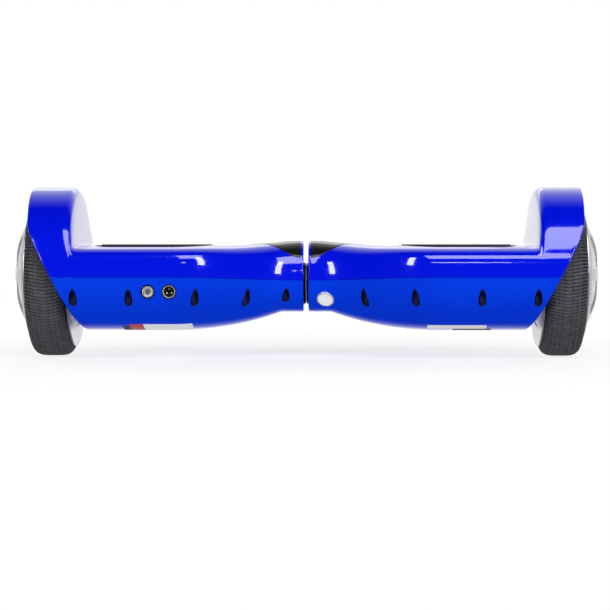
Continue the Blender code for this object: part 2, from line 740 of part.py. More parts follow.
def wheel_pieces():
    """Turned profiles of a wheel's pieces: name, finish, steps, closed or not, and (u, radius) points."""
    low, high = RIM_X
    seat = TYRE_BORE - GAP
    rim = [(low, 52), (low, 73), (low + 2.2, 73), (low + 2.2, seat), (high - 2, seat), (high - 2, 66)]
    rim += [(high, 66), (high, 58), (low + 4.5, 58), (low + 4.5, 52)]
    inner_cover = [(233, 10.5), (233, 51.7), (236.5, 51.7), (236.5, 21.5), (243.5, 21.5), (243.5, 17.8)]
    inner_cover += [(234.8, 17.8), (234.8, 10.5)]
    outer_cover = [(277.3, 0), (277.3, 57.7), (273.5, 57.7), (273.5, 21.5), (267.3, 21.5), (267.3, 17.8)]
    outer_cover += [(275.6, 17.8), (275.6, 0)]
    cap = [(HUB_CAP_X, 0), (HUB_CAP_X, 24), (288.5, 38), (284, 47), (280, 54), (277.6, 64), (277.6, 60)]
    cap += [(285, 40), (289, 23), (289, 0)]
    pieces = [
        ("tyre_{}", "tyre_rubber", WHEEL_STEPS, True, tyre_profile()),
        ("rim_{}", "alloy", WHEEL_STEPS, True, rim),
        ("motor_cover_{}_inner", "alloy", WHEEL_STEPS, True, inner_cover),
        ("motor_cover_{}_outer", "alloy", WHEEL_STEPS, False, outer_cover),
        ("hub_cap_{}", "alloy", WHEEL_STEPS, False, cap),
    ]
    low, high = MAGNET_RADII
    magnets = [(243, low), (243, high), (269, high), (269, low)]
    pieces.append(("magnet_ring_{}", "magnet", WHEEL_STEPS, True, magnets))
    for label, (start, stop) in (("inner", INNER_BEARING_X), ("outer", OUTER_BEARING_X)):
        bore = AXLE_RADIUS + GAP
        points = [(start, bore), (start, BEARING_RADIUS), (stop, BEARING_RADIUS), (stop, bore)]
        pieces.append(("bearing_{}_" + label, "steel", SMALL_STEPS, True, points))
    return pieces


def wheel(half, side, body):
    for name, finish, steps, closed, points in wheel_pieces():
        solid = turned([(side * x, r) for x, r in points], steps, along_x(AXLE_Z), closed)
        add_piece(name.format(half), solid, finish, body)


# ---------------------------------------------------------------- footpads, boards, battery and leads

def footpad(half, side, body):
    bottom = PAD_TOP_Z - PAD_THICKNESS
    levels = ((bottom, 0), (PAD_TOP_Z - 1, 0), (PAD_TOP_Z, 1))
    pad = add_piece(f"footpad_{half}", pad_slab(side, 0, levels), "mat_rubber", body)
    shape_with(pad, blade_boxes(side, 0, (BLADE_TIP_Z, bottom + 2)), "UNION")


def gyro_board(half, side, body):
    board = box((side * 122, side * 172), (-52, 52), GYRO_Z)
    piece = add_piece(f"gyro_board_{half}", board, "circuit_board", body)
    chips = both(
        box((side * 140, side * 150), (-5, 5), (GYRO_Z[1] - 0.5, GYRO_Z[1] + 2)),
        box((side * 124, side * 132), (-12, 12), (GYRO_Z[1] - 0.5, GYRO_Z[1] + 5)),
    )
    shape_with(piece, chips, "UNION")
    u, y = PAD_SENSOR
    base = GYRO_Z[1] + GAP
    gate = [(-5, base), (5, base), (5, 101), (2, 101), (2, 96.4), (-2, 96.4), (-2, 101), (-5, 101)]
    for label, end in ENDS.items():
        span = (end * y - 4, end * y + 4)
        sensor = extruded(gate, *span, lambda dx, z, along: Vector((side * u + dx, along, z)))
        add_piece(f"pad_sensor_{half}_{label}", sensor, "black_plastic", body)


def main_board(body):
    """Motor controller on the underside of the left frame."""
    top = BOARD_TOP_Z
    outline = box((-95, -194), (-42, 42), (top - BOARD_THICKNESS, top))
    board = add_piece("main_board", outline, "circuit_board", body)
    under = top - BOARD_THICKNESS + 0.2
    heat_sink = box((-112, -188), (26, 36), (60, under))
    connector = box((-96, -104), (-8, 8), (63, under))
    relay = box((-150, -178), (-36, -18), (64, under))
    parts = [heat_sink, connector, relay]
    for x, y in ((-120, -28), (-136, -28)):
        capacitor = rod(52, under, 6.3, 14, along_z(x, y))
        parts.append(capacitor)
    shape_with(board, both(*parts), "UNION")


def battery(body):
    low, high = BATTERY_Z
    half, corner = BATTERY_HALF_WIDTH, BATTERY_CORNER
    outline = []
    for y, z, first in ((half, high, 0), (-half, high, 90), (-half, low, 180), (half, low, 270)):
        centre = (y - math.copysign(corner, y), z - math.copysign(corner, z - 59.0))
        for step in range(5):
            turn = math.radians(first + 22.5 * step)
            outline.append((centre[0] + corner * math.cos(turn), centre[1] + corner * math.sin(turn)))
    pack = extruded(outline, *BATTERY_X, lambda y, z, u: Vector((u, y, z)))
    add_piece("battery_pack", pack, "battery_wrap", body)
    inner_y, inner_z = half + 0.4, low - 0.6
    outer_y, outer_z = inner_y + STRAP_THICKNESS, inner_z - STRAP_THICKNESS
    tab_y, tab_z = 55.5, PLATE_Z[0] - 0.4
    strap = [(tab_y, tab_z), (tab_y, tab_z - STRAP_THICKNESS), (outer_y, tab_z - STRAP_THICKNESS)]
    strap += [(outer_y, outer_z), (-outer_y, outer_z), (-outer_y, tab_z - STRAP_THICKNESS)]
    strap += [(-tab_y, tab_z - STRAP_THICKNESS), (-tab_y, tab_z), (-inner_y, tab_z)]
    strap += [(-inner_y, inner_z), (inner_y, inner_z), (inner_y, tab_z)]
    band = extruded(strap, *STRAP_X, lambda y, z, u: Vector((u, y, z)))
    add_piece("battery_strap", band, "steel", body)


def lead(name, route, radius, body):
    """Cable through the points of its route, as a round tube with filled ends."""
    curve = bpy.data.curves.new(name, "CURVE")
    curve.dimensions = "3D"
    curve.bevel_depth = radius * MM
    curve.bevel_resolution = 2
    curve.use_fill_caps = True
    line = curve.splines.new("POLY")
    points = smooth_route(route, 2.5 * 2 * radius)
    line.points.add(len(points) - 1)
    origin = Vector(body["origin"])
    for spot, point in zip(line.points, points):
        spot.co = (*((point - origin) * MM), 1.0)
    curve.materials.append(material("cable_sleeve"))
    obj = bpy.data.objects.new(name, curve)
    bpy.context.collection.objects.link(obj)
    obj.parent = body


def smooth_route(route, spacing):
    """Points about one spacing apart on a Catmull-Rom curve through the route."""
    nodes = [Vector(point) for point in route]
    nodes = [2 * nodes[0] - nodes[1]] + nodes + [2 * nodes[-1] - nodes[-2]]
    points = [nodes[1]]
    for a, b, c, d in zip(nodes, nodes[1:], nodes[2:], nodes[3:]):
        steps = max(1, round((c - b).length / spacing))
        for i in range(1, steps + 1):
            t = i / steps
            pull = 2 * b + (c - a) * t + (2 * a - 5 * b + 4 * c - d) * t ** 2
            points.append((pull + (3 * b - a - 3 * c + d) * t ** 3) / 2)
    return points


def leads(left, right):
    harness = [(-95.6, 0, 67.5), (-88, 0, 67.8), (-80, 0, 70.4), (-72, 0, 72.6), (-60, 0, PIVOT_Z)]
    harness += [(0, 0, PIVOT_Z), (60, 0, PIVOT_Z), (73, 0, PIVOT_Z)]
    lead("center_harness", harness, HARNESS_RADIUS, left)
    start = AXLE_X[0] - 0.4
    left_route = [(-start, 0, 85.8), (-191, 0, 85.8), (-185, 0, 84.3), (-181.5, 0, 80.5), (-181, 0, 74.2)]
    lead("motor_cable_left", left_route, MOTOR_LEAD_RADIUS, left)
    right_route = [(start, 0, 85.8), (180, 0, 85.8), (160, -10, 85.8), (130, -14, 85.8), (98, -6, 85.8)]
    lead("motor_cable_right", right_route, MOTOR_LEAD_RADIUS, right)


# ---------------------------------------------------------------- socket and power button

def flanged_tube(radii, end_y):
    """Profile of a threaded tube whose flange bears on the inside of the shell."""
    bore, thread, flange = radii
    outer, inner = FLANGE_Y
    profile = [(FITTING_FACE_Y, bore), (FITTING_FACE_Y, thread), (outer, thread), (outer, flange)]
    return profile + [(inner, flange), (inner, thread), (end_y, thread), (end_y, bore)]


def socket_and_button(cover, body, button_body):
    """Round fittings through the rear wall of the left lower cover, and the holes that take them."""
    face = FITTING_FACE_Y
    port_axis = along_y(PORT_X, FITTING_Z)
    bore, thread, _ = PORT_RADII
    shape_with(cover, rod(face - 12, -70, thread + GAP, SMALL_STEPS, port_axis))
    shell = flanged_tube(PORT_RADII, -73.0)
    add_piece("charge_port_shell", turned(shell, SMALL_STEPS, port_axis), "chrome", body)
    insert = rod(-80.5, -72, bore - GAP, SMALL_STEPS, port_axis)
    plug = add_piece("charge_port_insert", insert, "black_plastic", body)
    pins = []
    for degrees in (90, 210, 330):
        turn = math.radians(degrees)
        place = along_y(PORT_X + 2.6 * math.cos(turn), FITTING_Z + 2.6 * math.sin(turn))
        pins.append(rod(-85.0, -79.0, 0.8, 8, place))
    shape_with(plug, both(*pins), "UNION")

    button_axis = along_y(BUTTON_X, FITTING_Z)
    bore, thread, _ = BUTTON_RADII
    shape_with(cover, rod(face - 12, -70, thread + GAP, SMALL_STEPS, button_axis))
    bezel_end = -76.0
    bezel = flanged_tube(BUTTON_RADII, bezel_end)
    add_piece("power_button_bezel", turned(bezel, SMALL_STEPS, button_axis), "chrome", body)
    stem, collar, back = bore - GAP, bore + 0.9, bezel_end + GAP
    plunger = [(face + 0.6, 0), (face + 0.6, stem), (back, stem), (back, collar), (back + 2, collar), (back + 2, 0)]
    button = turned(plunger, SMALL_STEPS, button_axis, closed=False)
    add_piece("power_button", button, "button_grey", button_body)


# ---------------------------------------------------------------- the board

def build():
    clear_scene()
    bodies = {"left": carrier("left_half", (0, 0, 0))}
    bodies["right"] = carrier("right_half", (0, 0, PIVOT_Z), bodies["left"])
    for half, side in HALVES.items():
        body = bodies[half]
        wheel_body = carrier(f"{half}_wheel", (side * sum(TYRE_X) / 2, 0, AXLE_Z), body)
        pad_body = carrier(f"{half}_footpad", (side * sum(PAD_ENDS) / 2, 0, PAD_TOP_Z), body)
        frame_casting(half, side, body)
        upper_cover(half, side, body)
        cover = lower_cover(half, side, body)
        waist_panel = panel_patch(side, 0, PANEL_THICKNESS, PANEL_PROUD)
        add_piece(f"waist_panel_{half}", waist_panel, "gloss_black", body)
        headlight(half, side, body)
        axle_fittings(half, side, body)
        stator(half, side, body)
        wheel(half, side, wheel_body)
        footpad(half, side, pad_body)
        gyro_board(half, side, body)
        if half == "left":
            button_body = carrier("power_button_slide", (BUTTON_X, FITTING_FACE_Y, FITTING_Z), body)
            socket_and_button(cover, body, button_body)
            main_board(body)
        else:
            battery(body)
    waist_pivot(bodies["left"], bodies["right"])
    leads(bodies["left"], bodies["right"])


build()
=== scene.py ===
"""Looks of the two-wheeled self-balancing board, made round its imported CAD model.

Lengths are in millimetres, as in the CAD source, and are scaled to metres when an object is made. Each half
is described by u, the distance from the waist plane, and by a side: -1 is the left half and +1 the right.
The shell is drawn again with the CAD's own formulas on a fine grid, and the wheels, mats, trim and fittings
get the detail that the plain solids leave out. CAD nodes that aren't replaced get a material only.
"""

import json
from math import asin, copysign, cos, pi, radians, sin, sqrt

import bmesh
import bpy
from mathutils import Matrix, Vector


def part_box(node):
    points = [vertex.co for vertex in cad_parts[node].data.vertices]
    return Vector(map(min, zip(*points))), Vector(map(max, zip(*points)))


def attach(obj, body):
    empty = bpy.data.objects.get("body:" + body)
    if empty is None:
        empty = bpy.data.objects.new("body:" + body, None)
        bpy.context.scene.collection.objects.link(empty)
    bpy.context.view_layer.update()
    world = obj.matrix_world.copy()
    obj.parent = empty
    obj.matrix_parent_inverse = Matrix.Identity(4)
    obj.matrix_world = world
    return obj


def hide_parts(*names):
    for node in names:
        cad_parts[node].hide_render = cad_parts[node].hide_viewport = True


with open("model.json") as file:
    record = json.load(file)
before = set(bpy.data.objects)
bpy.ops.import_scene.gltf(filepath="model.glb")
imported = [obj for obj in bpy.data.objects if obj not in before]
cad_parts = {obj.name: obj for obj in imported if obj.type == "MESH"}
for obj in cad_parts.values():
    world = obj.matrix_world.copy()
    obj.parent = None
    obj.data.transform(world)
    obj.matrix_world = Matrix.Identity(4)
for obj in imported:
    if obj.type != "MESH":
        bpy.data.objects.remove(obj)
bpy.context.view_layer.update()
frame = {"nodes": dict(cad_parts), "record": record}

MM = 0.001
MERGE = 0.0001
GAP = 0.3
HALVES = {"left": -1, "right": 1}
ENDS = {"lamp": 1, "socket": -1}      # +Y and -Y sides


def span(node, axis):
    """Limits of a CAD node along an axis, in millimetres."""
    low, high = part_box(node)
    i = "xyz".index(axis)
    return low[i] / MM, high[i] / MM


# Shell, as in the CAD
BODY_HALF_DEPTH = span("upper_cover_right", "y")[1]
WAIST_HALF_DEPTH = 45.0
FLARE = (8.0, 123.0)
PARTING_Z = 80.5
WAIST_PARTING_Z = 77.0
DECK_Z = 111.5
WAIST_CROWN_Z = 116.4
CROWN_FALL = (-10.0, 78.0)
KEEL_Z = 26.2
WAIST_KEEL_Z = 44.5
KEEL_FALL = (25.0, 135.0)
KEEL_POWER = 2.2
WAIST_POWER = 2.6
DECK_POWER = 5.2
DECK_SQUARING = (20.0, 110.0)
LOWER_POWER = 2.4
WALL = 2.6
DECK_WALL = 8.0
DECK_THICKENING = (60.0, 85.0)
WAIST_FACE_X = span("upper_cover_right", "x")[0]
WAIST_LIP = 1.2
ARCH_STEPS = 112
LINING_ROWS = (14, 27, 40, 53, 66, 80, 95, 110, 128)
ARCH_TOP_Z = span("upper_cover_right", "z")[1]
ARCH_WALL_X = 225.7
ARCH_WALL_TOP_X = 228.5
ARCH_CORNER = 9.0
ARCH_FILLET = 4.0
PARTITION_X = 226.0
EDGE_LINE = ((32.0, 222.0), (117.0, 265.5), (131.0, 270.8), (170.0, 274.5))
EDGE_LIP = 1.2
EDGE_ROUND = 1.3
LOWER_SKIN_END = 205.0
AXLE_HOLE = 11.0
TUBE_HOLE = 21.6

# Wheels
WHEEL_RADIUS = span("tyre_right", "z")[1] / 2
AXLE_Z = WHEEL_RADIUS
TYRE_X = span("tyre_right", "x")
TYRE_BORE = 62.0
RIM_X = span("rim_right", "x")
CAP_X = span("hub_cap_right", "x")
CAP_RADIUS = 64.0
INNER_COVER_X = 233.0
SIPES = 150

# Waist, screws and fittings
PIVOT_Z = 73.0
CHANNEL_X = (20.0, 58.5, 107.0, 171.0, 225.0)
CHANNEL_RADIUS = 3.9
CHANNEL_TOP_Z = 72.0
CHANNEL_MOUTH_Z = 69.7
CHANNEL_WALL = 1.2
CHANNEL_COVER = 0.6
PANEL_ENDS = (5.0, 59.0)
PANEL_HALF_WIDTH = 40.5
PANEL_THICKNESS = 1.3
PANEL_PROUD = 0.25
LAMP_X = span("headlight_right", "x")
LAMP_Z = span("headlight_right", "z")
LAMP_BACK_Y = span("headlight_right", "y")[0]
FITTING_Z = sum(span("charge_port_shell", "z")) / 2
FITTING_FACE_Y = span("charge_port_shell", "y")[0]
PORT_X = sum(span("charge_port_shell", "x")) / 2
BUTTON_X = sum(span("power_button_bezel", "x")) / 2
FITTING_ROOT_Y = -70.0
PORT_HOLE = 7.3
BUTTON_HOLE = 6.9

# Footpads
PAD_ENDS = span("footpad_right", "x")
PAD_HALF_WIDTH = span("footpad_right", "y")[1]
PAD_WAIST_CORNER = 40.0
PAD_WHEEL_CORNER = 16.0
PAD_TOP_Z = span("footpad_right", "z")[1]
PAD_THICKNESS = 4.8
PAD_TRAVEL = 1.2
BAR_HEIGHT = 0.9


# Materials

class Finish:
    """Principled material fed by procedural textures in object coordinates, in metres."""

    def __init__(self, name, colour, roughness, metallic=0.0, **sockets):
        self.material = bpy.data.materials.new(f"{name}_finish")
        self.material.use_nodes = True
        self.tree = self.material.node_tree
        self.shader = self.tree.nodes["Principled BSDF"]
        self.colour = (*colour, 1.0)
        self.shader.inputs["Base Color"].default_value = self.colour
        self.shader.inputs["Roughness"].default_value = roughness
        self.shader.inputs["Metallic"].default_value = metallic
        for label, value in sockets.items():
            self.shader.inputs[label.replace("_", " ")].default_value = value
        self.place = self.node("ShaderNodeTexCoord").outputs["Object"]
        self.normal = None

    def node(self, kind, inputs=None, **settings):
        made = self.tree.nodes.new(kind)
        for label, value in settings.items():
            setattr(made, label, value)
        for label, value in (inputs or {}).items():
            if hasattr(value, "links"):
                self.tree.links.new(value, made.inputs[label])
            else:
                made.inputs[label].default_value = value
        return made

    def scaled(self, stretch):
        """Object coordinates stretched on each axis."""
        return self.node("ShaderNodeVectorMath", {0: self.place, 1: stretch}, operation="MULTIPLY").outputs[0]

    def around_wheel(self, along, outward):
        """Coordinates that run along the axle and outward from it, for marks left by turning."""
        split = self.node("ShaderNodeSeparateXYZ", {0: self.place}).outputs
        up = self.math("SUBTRACT", split[2], AXLE_Z * MM)
        square = self.math("ADD", self.math("MULTIPLY", split[1], split[1]), self.math("MULTIPLY", up, up))
        radius = self.math("SQRT", square, 0.0)
        values = {0: self.math("MULTIPLY", split[0], along), 1: self.math("MULTIPLY", radius, outward)}
        return self.node("ShaderNodeCombineXYZ", values).outputs[0]

    def math(self, operation, a, b):
        return self.node("ShaderNodeMath", {0: a, 1: b}, operation=operation).outputs[0]

    def noise(self, scale, detail=4.0, vector=None):
        inputs = {"Vector": vector or self.place, "Scale": scale, "Detail": detail}
        return self.node("ShaderNodeTexNoise", inputs).outputs["Fac"]

    def cells(self, scale):
        return self.node("ShaderNodeTexVoronoi", {"Vector": self.place, "Scale": scale}).outputs["Distance"]

    def ranged(self, value, source, target):
        inputs = {"Value": value, "From Min": source[0], "From Max": source[1]}
        inputs.update({"To Min": target[0], "To Max": target[1]})
        return self.node("ShaderNodeMapRange", inputs).outputs["Result"]

    def tint(self, value, source, colour):
        """Mixes the base colour towards another as the value crosses the source range."""
        current = self.shader.inputs["Base Color"]
        start = current.links[0].from_socket if current.links else self.colour
        mix = self.node("ShaderNodeMix", {0: self.ranged(value, source, (0.0, 1.0))}, data_type="RGBA")
        if hasattr(start, "links"):
            self.tree.links.new(start, mix.inputs[6])
        else:
            mix.inputs[6].default_value = start
        mix.inputs[7].default_value = (*colour, 1.0)
        self.tree.links.new(mix.outputs[2], current)

    def gloss(self, value, target, source=(0.3, 0.7)):
        """Drives the roughness from the value."""
        self.tree.links.new(self.ranged(value, source, target), self.shader.inputs["Roughness"])

    def relief(self, height, depth, coat=False):
        """Adds bump of a depth in millimetres."""
        inputs = {"Height": height, "Distance": depth * MM, "Strength": 1.0}
        if self.normal:
            inputs["Normal"] = self.normal
        self.normal = self.node("ShaderNodeBump", inputs).outputs["Normal"]
        self.tree.links.new(self.normal, self.shader.inputs["Normal"])
        if coat:
            self.tree.links.new(self.normal, self.shader.inputs["Coat Normal"])


def shell_finish(name, colour, deep, specular, coat):
    """Glossy moulded plastic: slow colour drift, faint waviness and fine handling scuffs."""
    made = Finish(name, colour, 0.12, Coat_Weight=coat, Coat_Roughness=0.02, Specular_IOR_Level=specular)
    made.tint(made.noise(14.0, 2.0), (0.35, 0.7), deep)
    made.gloss(made.noise(420.0, 6.0), (0.07, 0.17), (0.35, 0.75))
    made.relief(made.noise(160.0, 1.0), 0.006, coat=True)
    return made


def rubber_finish(name, colour, dust, grain):
    """Soft black rubber with a fine pebbled grain and pale wear on it."""
    made = Finish(name, colour, 0.8, Specular_IOR_Level=0.35)
    pebbles = made.cells(grain)
    made.tint(made.noise(180.0, 6.0), (0.42, 0.85), dust)
    made.gloss(made.noise(600.0, 3.0), (0.62, 0.9))
    made.relief(pebbles, 0.12)
    made.relief(made.noise(2600.0, 2.0), 0.05)
    return made


def turned_finish(name, colour, roughness, marks):
    """Lacquered metal turned on a lathe: fine rings about the axle."""
    made = Finish(name, colour, roughness, 0.72)
    rings = made.noise(1.0, 5.0, made.around_wheel(400.0, marks))
    made.gloss(rings, (roughness * 0.6, roughness * 1.6))
    made.tint(made.noise(60.0, 5.0), (0.45, 0.8), tuple(0.82 * part for part in colour))
    made.relief(rings, 0.015)
    return made


def cast_finish(name, colour, dark):
    """Sand-cast aluminium: pitted skin, darker in its low spots, black-coated round the waist pivot."""
    made = Finish(name, colour, 0.5, 1.0)
    made.tint(made.noise(300.0, 8.0), (0.4, 0.75), dark)
    made.gloss(made.noise(500.0, 4.0), (0.4, 0.65))
    made.relief(made.noise(900.0, 6.0), 0.15)
    across = made.node("ShaderNodeSeparateXYZ", {0: made.place}).outputs[0]
    made.tint(made.math("ABSOLUTE", across, 0.0), (0.022, 0.018), (0.02, 0.02, 0.022))
    return made


def steel_finish(name, colour, roughness):
    """Drawn and ground steel, with streaks along X and light stains."""
    made = Finish(name, colour, roughness, 1.0)
    streaks = made.noise(1.0, 6.0, made.scaled((90.0, 2400.0, 2400.0)))
    made.gloss(streaks, (roughness * 0.7, roughness * 1.5))
    made.tint(made.noise(110.0, 6.0), (0.5, 0.85), tuple(0.6 * part for part in colour))
    made.relief(streaks, 0.01)
    return made


def plated_finish(name, colour):
    """Bright plating with faint smears and tiny pits."""
    made = Finish(name, colour, 0.25, 0.6)
    made.gloss(made.noise(700.0, 6.0), (0.18, 0.34), (0.45, 0.8))
    made.tint(made.noise(1500.0, 4.0), (0.62, 0.75), (0.5, 0.5, 0.53))
    made.relief(made.noise(1800.0, 2.0), 0.004)
    return made


def plastic_finish(name, colour, pale, roughness, grain):
    """Spark-textured moulded plastic."""
    made = Finish(name, colour, roughness, Specular_IOR_Level=0.4)
    texture = made.noise(grain, 3.0)
    made.gloss(texture, (roughness * 0.8, roughness * 1.25))
    made.tint(made.noise(90.0, 5.0), (0.5, 0.9), pale)
    made.relief(texture, 0.03)
    return made


def trim_finish(name, colour):
    """Polished black trim with hairline swirls and settled dust."""
    made = Finish(name, colour, 0.09, Coat_Weight=0.1, Coat_Roughness=0.03, Specular_IOR_Level=0.3)
    swirls = made.noise(1.0, 7.0, made.scaled((900.0, 160.0, 160.0)))
    made.gloss(swirls, (0.05, 0.2), (0.4, 0.8))
    made.tint(made.noise(2200.0, 2.0), (0.68, 0.8), (0.06, 0.06, 0.065))
    made.relief(made.noise(150.0, 1.0), 0.004, coat=True)
    return made


def copper_finish(name, colour):
    """Enamelled windings: round wire laid side by side."""
    made = Finish(name, colour, 0.35, 1.0)
    wires = made.node("ShaderNodeTexWave", {"Vector": made.around_wheel(1.0, 1.0), "Scale": 320.0,
                                            "Distortion": 0.6, "Detail Scale": 3.0}, bands_direction="Y")
    made.relief(wires.outputs["Fac"], 0.25)
    made.tint(wires.outputs["Fac"], (0.6, 0.1), (0.25, 0.07, 0.02))
    made.gloss(made.noise(300.0, 4.0), (0.25, 0.5))
    return made


def board_finish(name, colour):
    """Solder mask over tracks, with tinned pads in a grid."""
    made = Finish(name, colour, 0.4, Specular_IOR_Level=0.5)
    tracks = made.node("ShaderNodeTexBrick", {"Vector": made.place, "Scale": 130.0, "Mortar Size": 0.05,
                                              "Color1": (0, 0, 0, 1), "Color2": (0, 0, 0, 1),
                                              "Mortar": (1, 1, 1, 1)}).outputs["Color"]
    made.tint(tracks, (0.3, 0.8), (0.02, 0.24, 0.07))
    made.relief(tracks, 0.08)
    pads = made.cells(260.0)
    made.tint(pads, (0.16, 0.12), (0.6, 0.58, 0.5))
    made.gloss(pads, (0.25, 0.45), (0.1, 0.2))
    return made


def wrap_finish(name, colour):
    """Shrink wrap pulled over round cells: soft long ridges and small wrinkles."""
    made = Finish(name, colour, 0.3, Coat_Weight=0.3, Coat_Roughness=0.15)
    ridges = made.node("ShaderNodeTexWave", {"Vector": made.place, "Scale": 9.0, "Distortion": 0.4},
                       bands_direction="Y").outputs["Fac"]
    made.relief(ridges, 0.9)
    wrinkles = made.noise(1.0, 6.0, made.scaled((60.0, 420.0, 420.0)))
    made.relief(wrinkles, 0.3)
    made.tint(wrinkles, (0.45, 0.75), (0.01, 0.05, 0.2))
    made.gloss(wrinkles, (0.2, 0.45))
    return made


def sleeve_finish(name, colour):
    """Braided sleeve: two sets of strands that cross."""
    made = Finish(name, colour, 0.55)
    total = None
    for slant in (1.0, -1.0):
        lean = made.node("ShaderNodeVectorRotate", {"Vector": made.place, "Angle": slant * 0.8},
                         rotation_type="Z_AXIS").outputs[0]
        strands = made.node("ShaderNodeTexWave", {"Vector": lean, "Scale": 520.0}).outputs["Fac"]
        total = strands if total is None else made.math("MAXIMUM", total, strands)
    made.relief(total, 0.3)
    made.tint(total, (0.4, 0.9), (0.07, 0.07, 0.075))
    made.gloss(total, (0.75, 0.5), (0.2, 0.9))
    return made


def lens_finish(name, colour):
    """Clear polycarbonate with a cool cast and faint flow lines."""
    made = Finish(name, colour, 0.06, Transmission_Weight=0.55, IOR=1.58, Coat_Weight=0.4)
    flow = made.noise(1.0, 4.0, made.scaled((40.0, 500.0, 500.0)))
    made.gloss(flow, (0.04, 0.16), (0.3, 0.8))
    made.tint(flow, (0.45, 0.8), tuple(0.85 * part for part in colour))
    made.relief(flow, 0.02)
    return made


def printed_finish(name, colour, worn):
    """Printed vinyl: slight mottling and a satin surface."""
    made = Finish(name, colour, 0.45, Specular_IOR_Level=0.4)
    made.tint(made.noise(500.0, 6.0), (0.5, 0.85), worn)
    made.gloss(made.noise(900.0, 3.0), (0.35, 0.6))
    made.relief(made.noise(1600.0, 2.0), 0.01)
    return made


def make_finishes():
    """One finish for each material slot of the record, and a few for small trim."""
    made = (
        ("upper_blue", shell_finish, (0.0006, 0.0065, 0.66), (0.0005, 0.006, 0.62), 0.5, 0.9),
        ("lower_blue", shell_finish, (0.0006, 0.038, 0.64), (0.0005, 0.032, 0.6), 0.12, 0.0),
        # The next finish is the unpainted inner plastic, made far darker than the shell so that it paints shade
        # into the screw channels, the hole walls and the cut faces.
        ("raw_blue", plastic_finish, (0.0003, 0.002, 0.045), (0.0005, 0.003, 0.07), 0.5, 1500.0),
        ("gloss_black", trim_finish, (0.008, 0.008, 0.009)),
        ("mat_rubber", rubber_finish, (0.017, 0.017, 0.019), (0.032, 0.032, 0.034), 1500.0),
        ("tyre_rubber", rubber_finish, (0.058, 0.058, 0.069), (0.095, 0.093, 0.1), 1900.0),
        # The next finish is a darker copy of the tread rubber: painted shade for the sipe floors.
        ("tyre_groove", rubber_finish, (0.008, 0.008, 0.01), (0.02, 0.02, 0.022), 1900.0),
        ("alloy", turned_finish, (0.78, 0.78, 0.8), 0.27, 2600.0),
        ("cast_aluminium", cast_finish, (0.5, 0.5, 0.52), (0.3, 0.3, 0.32)),
        ("steel", steel_finish, (0.45, 0.45, 0.47), 0.32),
        ("chrome", plated_finish, (0.85, 0.85, 0.87)),
        ("copper", copper_finish, (0.72, 0.3, 0.13)),
        ("magnet", steel_finish, (0.36, 0.36, 0.4), 0.3),
        ("circuit_board", board_finish, (0.008, 0.1, 0.035)),
        ("black_plastic", plastic_finish, (0.006, 0.006, 0.008), (0.015, 0.015, 0.016), 0.45, 1800.0),
        ("nylon", plastic_finish, (0.75, 0.73, 0.66), (0.6, 0.56, 0.46), 0.5, 1300.0),
        ("lamp_lens", lens_finish, (0.8, 0.86, 0.92)),
        ("button_grey", plastic_finish, (0.09, 0.09, 0.085), (0.2, 0.2, 0.19), 0.3, 2400.0),
        ("battery_wrap", wrap_finish, (0.02, 0.1, 0.35)),
        ("cable_sleeve", sleeve_finish, (0.02, 0.02, 0.02)),
        ("brass", plated_finish, (0.8, 0.62, 0.28)),
        ("badge_white", printed_finish, (0.82, 0.82, 0.83), (0.7, 0.7, 0.72)),
        ("label_white", printed_finish, (0.78, 0.79, 0.82), (0.66, 0.67, 0.7)),
        ("label_red", printed_finish, (0.5, 0.05, 0.08), (0.4, 0.03, 0.05)),
        ("label_black", printed_finish, (0.01, 0.01, 0.012), (0.03, 0.03, 0.03)),
    )
    return {name: finish(name, *values).material for name, finish, *values in made}


FINISHES = make_finishes()


# Mesh helpers

def linked(name, data):
    obj = bpy.data.objects.new(name, data)
    bpy.context.collection.objects.link(obj)
    return obj


def new_object(name, bm, finish, sharp=35.0):
    bmesh.ops.recalc_face_normals(bm, faces=bm.faces)
    bmesh.ops.scale(bm, vec=(MM, MM, MM), verts=bm.verts)
    mesh = bpy.data.meshes.new(name)
    bm.to_mesh(mesh)
    bm.free()
    mesh.materials.append(FINISHES[finish])
    shade(mesh, sharp)
    return linked(name, mesh)


def shade(mesh, sharp):
    mesh.shade_smooth()
    mesh.set_sharp_from_angle(angle=radians(sharp))


def settle(obj, body, slot, *nodes):
    """Puts a finished piece on its body, and hides the CAD nodes that it stands for."""
    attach(obj, body)
    if nodes:
        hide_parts(*nodes)


def piece(name, bm, body, slot, *nodes, finish=None, sharp=35.0):
    """Makes a piece and settles it, with its slot's finish unless another one is named."""
    settle(new_object(name, bm, finish or slot, sharp), body, slot, *nodes)


def carved(obj, tool_bm, finish):
    """Cuts a closed shape out of an object's mesh, and gives the cut faces a finish."""
    tool = new_object("carving_tool", tool_bm, finish)
    modifier = obj.modifiers.new("carve", "BOOLEAN")
    modifier.operation = "DIFFERENCE"
    modifier.solver = "EXACT"
    modifier.object = tool
    modifier.material_mode = "TRANSFER"
    evaluated = obj.evaluated_get(bpy.context.evaluated_depsgraph_get())
    mesh = bpy.data.meshes.new_from_object(evaluated)
    obj.modifiers.clear()
    whole = obj.data
    obj.data = mesh
    bpy.data.meshes.remove(whole)
    bpy.data.objects.remove(tool, do_unlink=True)


def steps(low, high, count):
    return [low + (high - low) * k / count for k in range(count + 1)]


def arc(first, last, count):
    """Angles in radians between two angles given in degrees."""
    return [radians(degrees) for degrees in steps(first, last, count)]


def loft(rings, loop=True, ends=True):
    """Skin through rings of equal length; the rings are closed, and the ends are filled."""
    bm = bmesh.new()
    rows = [[bm.verts.new(point) for point in ring] for ring in rings]
    count = len(rows[0])
    for low, high in zip(rows, rows[1:]):
        for i in range(count if loop else count - 1):
            j = (i + 1) % count
            bm.faces.new((low[i], low[j], high[j], high[i]))
    if ends:
        bm.faces.new(rows[0])
        bm.faces.new(rows[-1])
    return bm


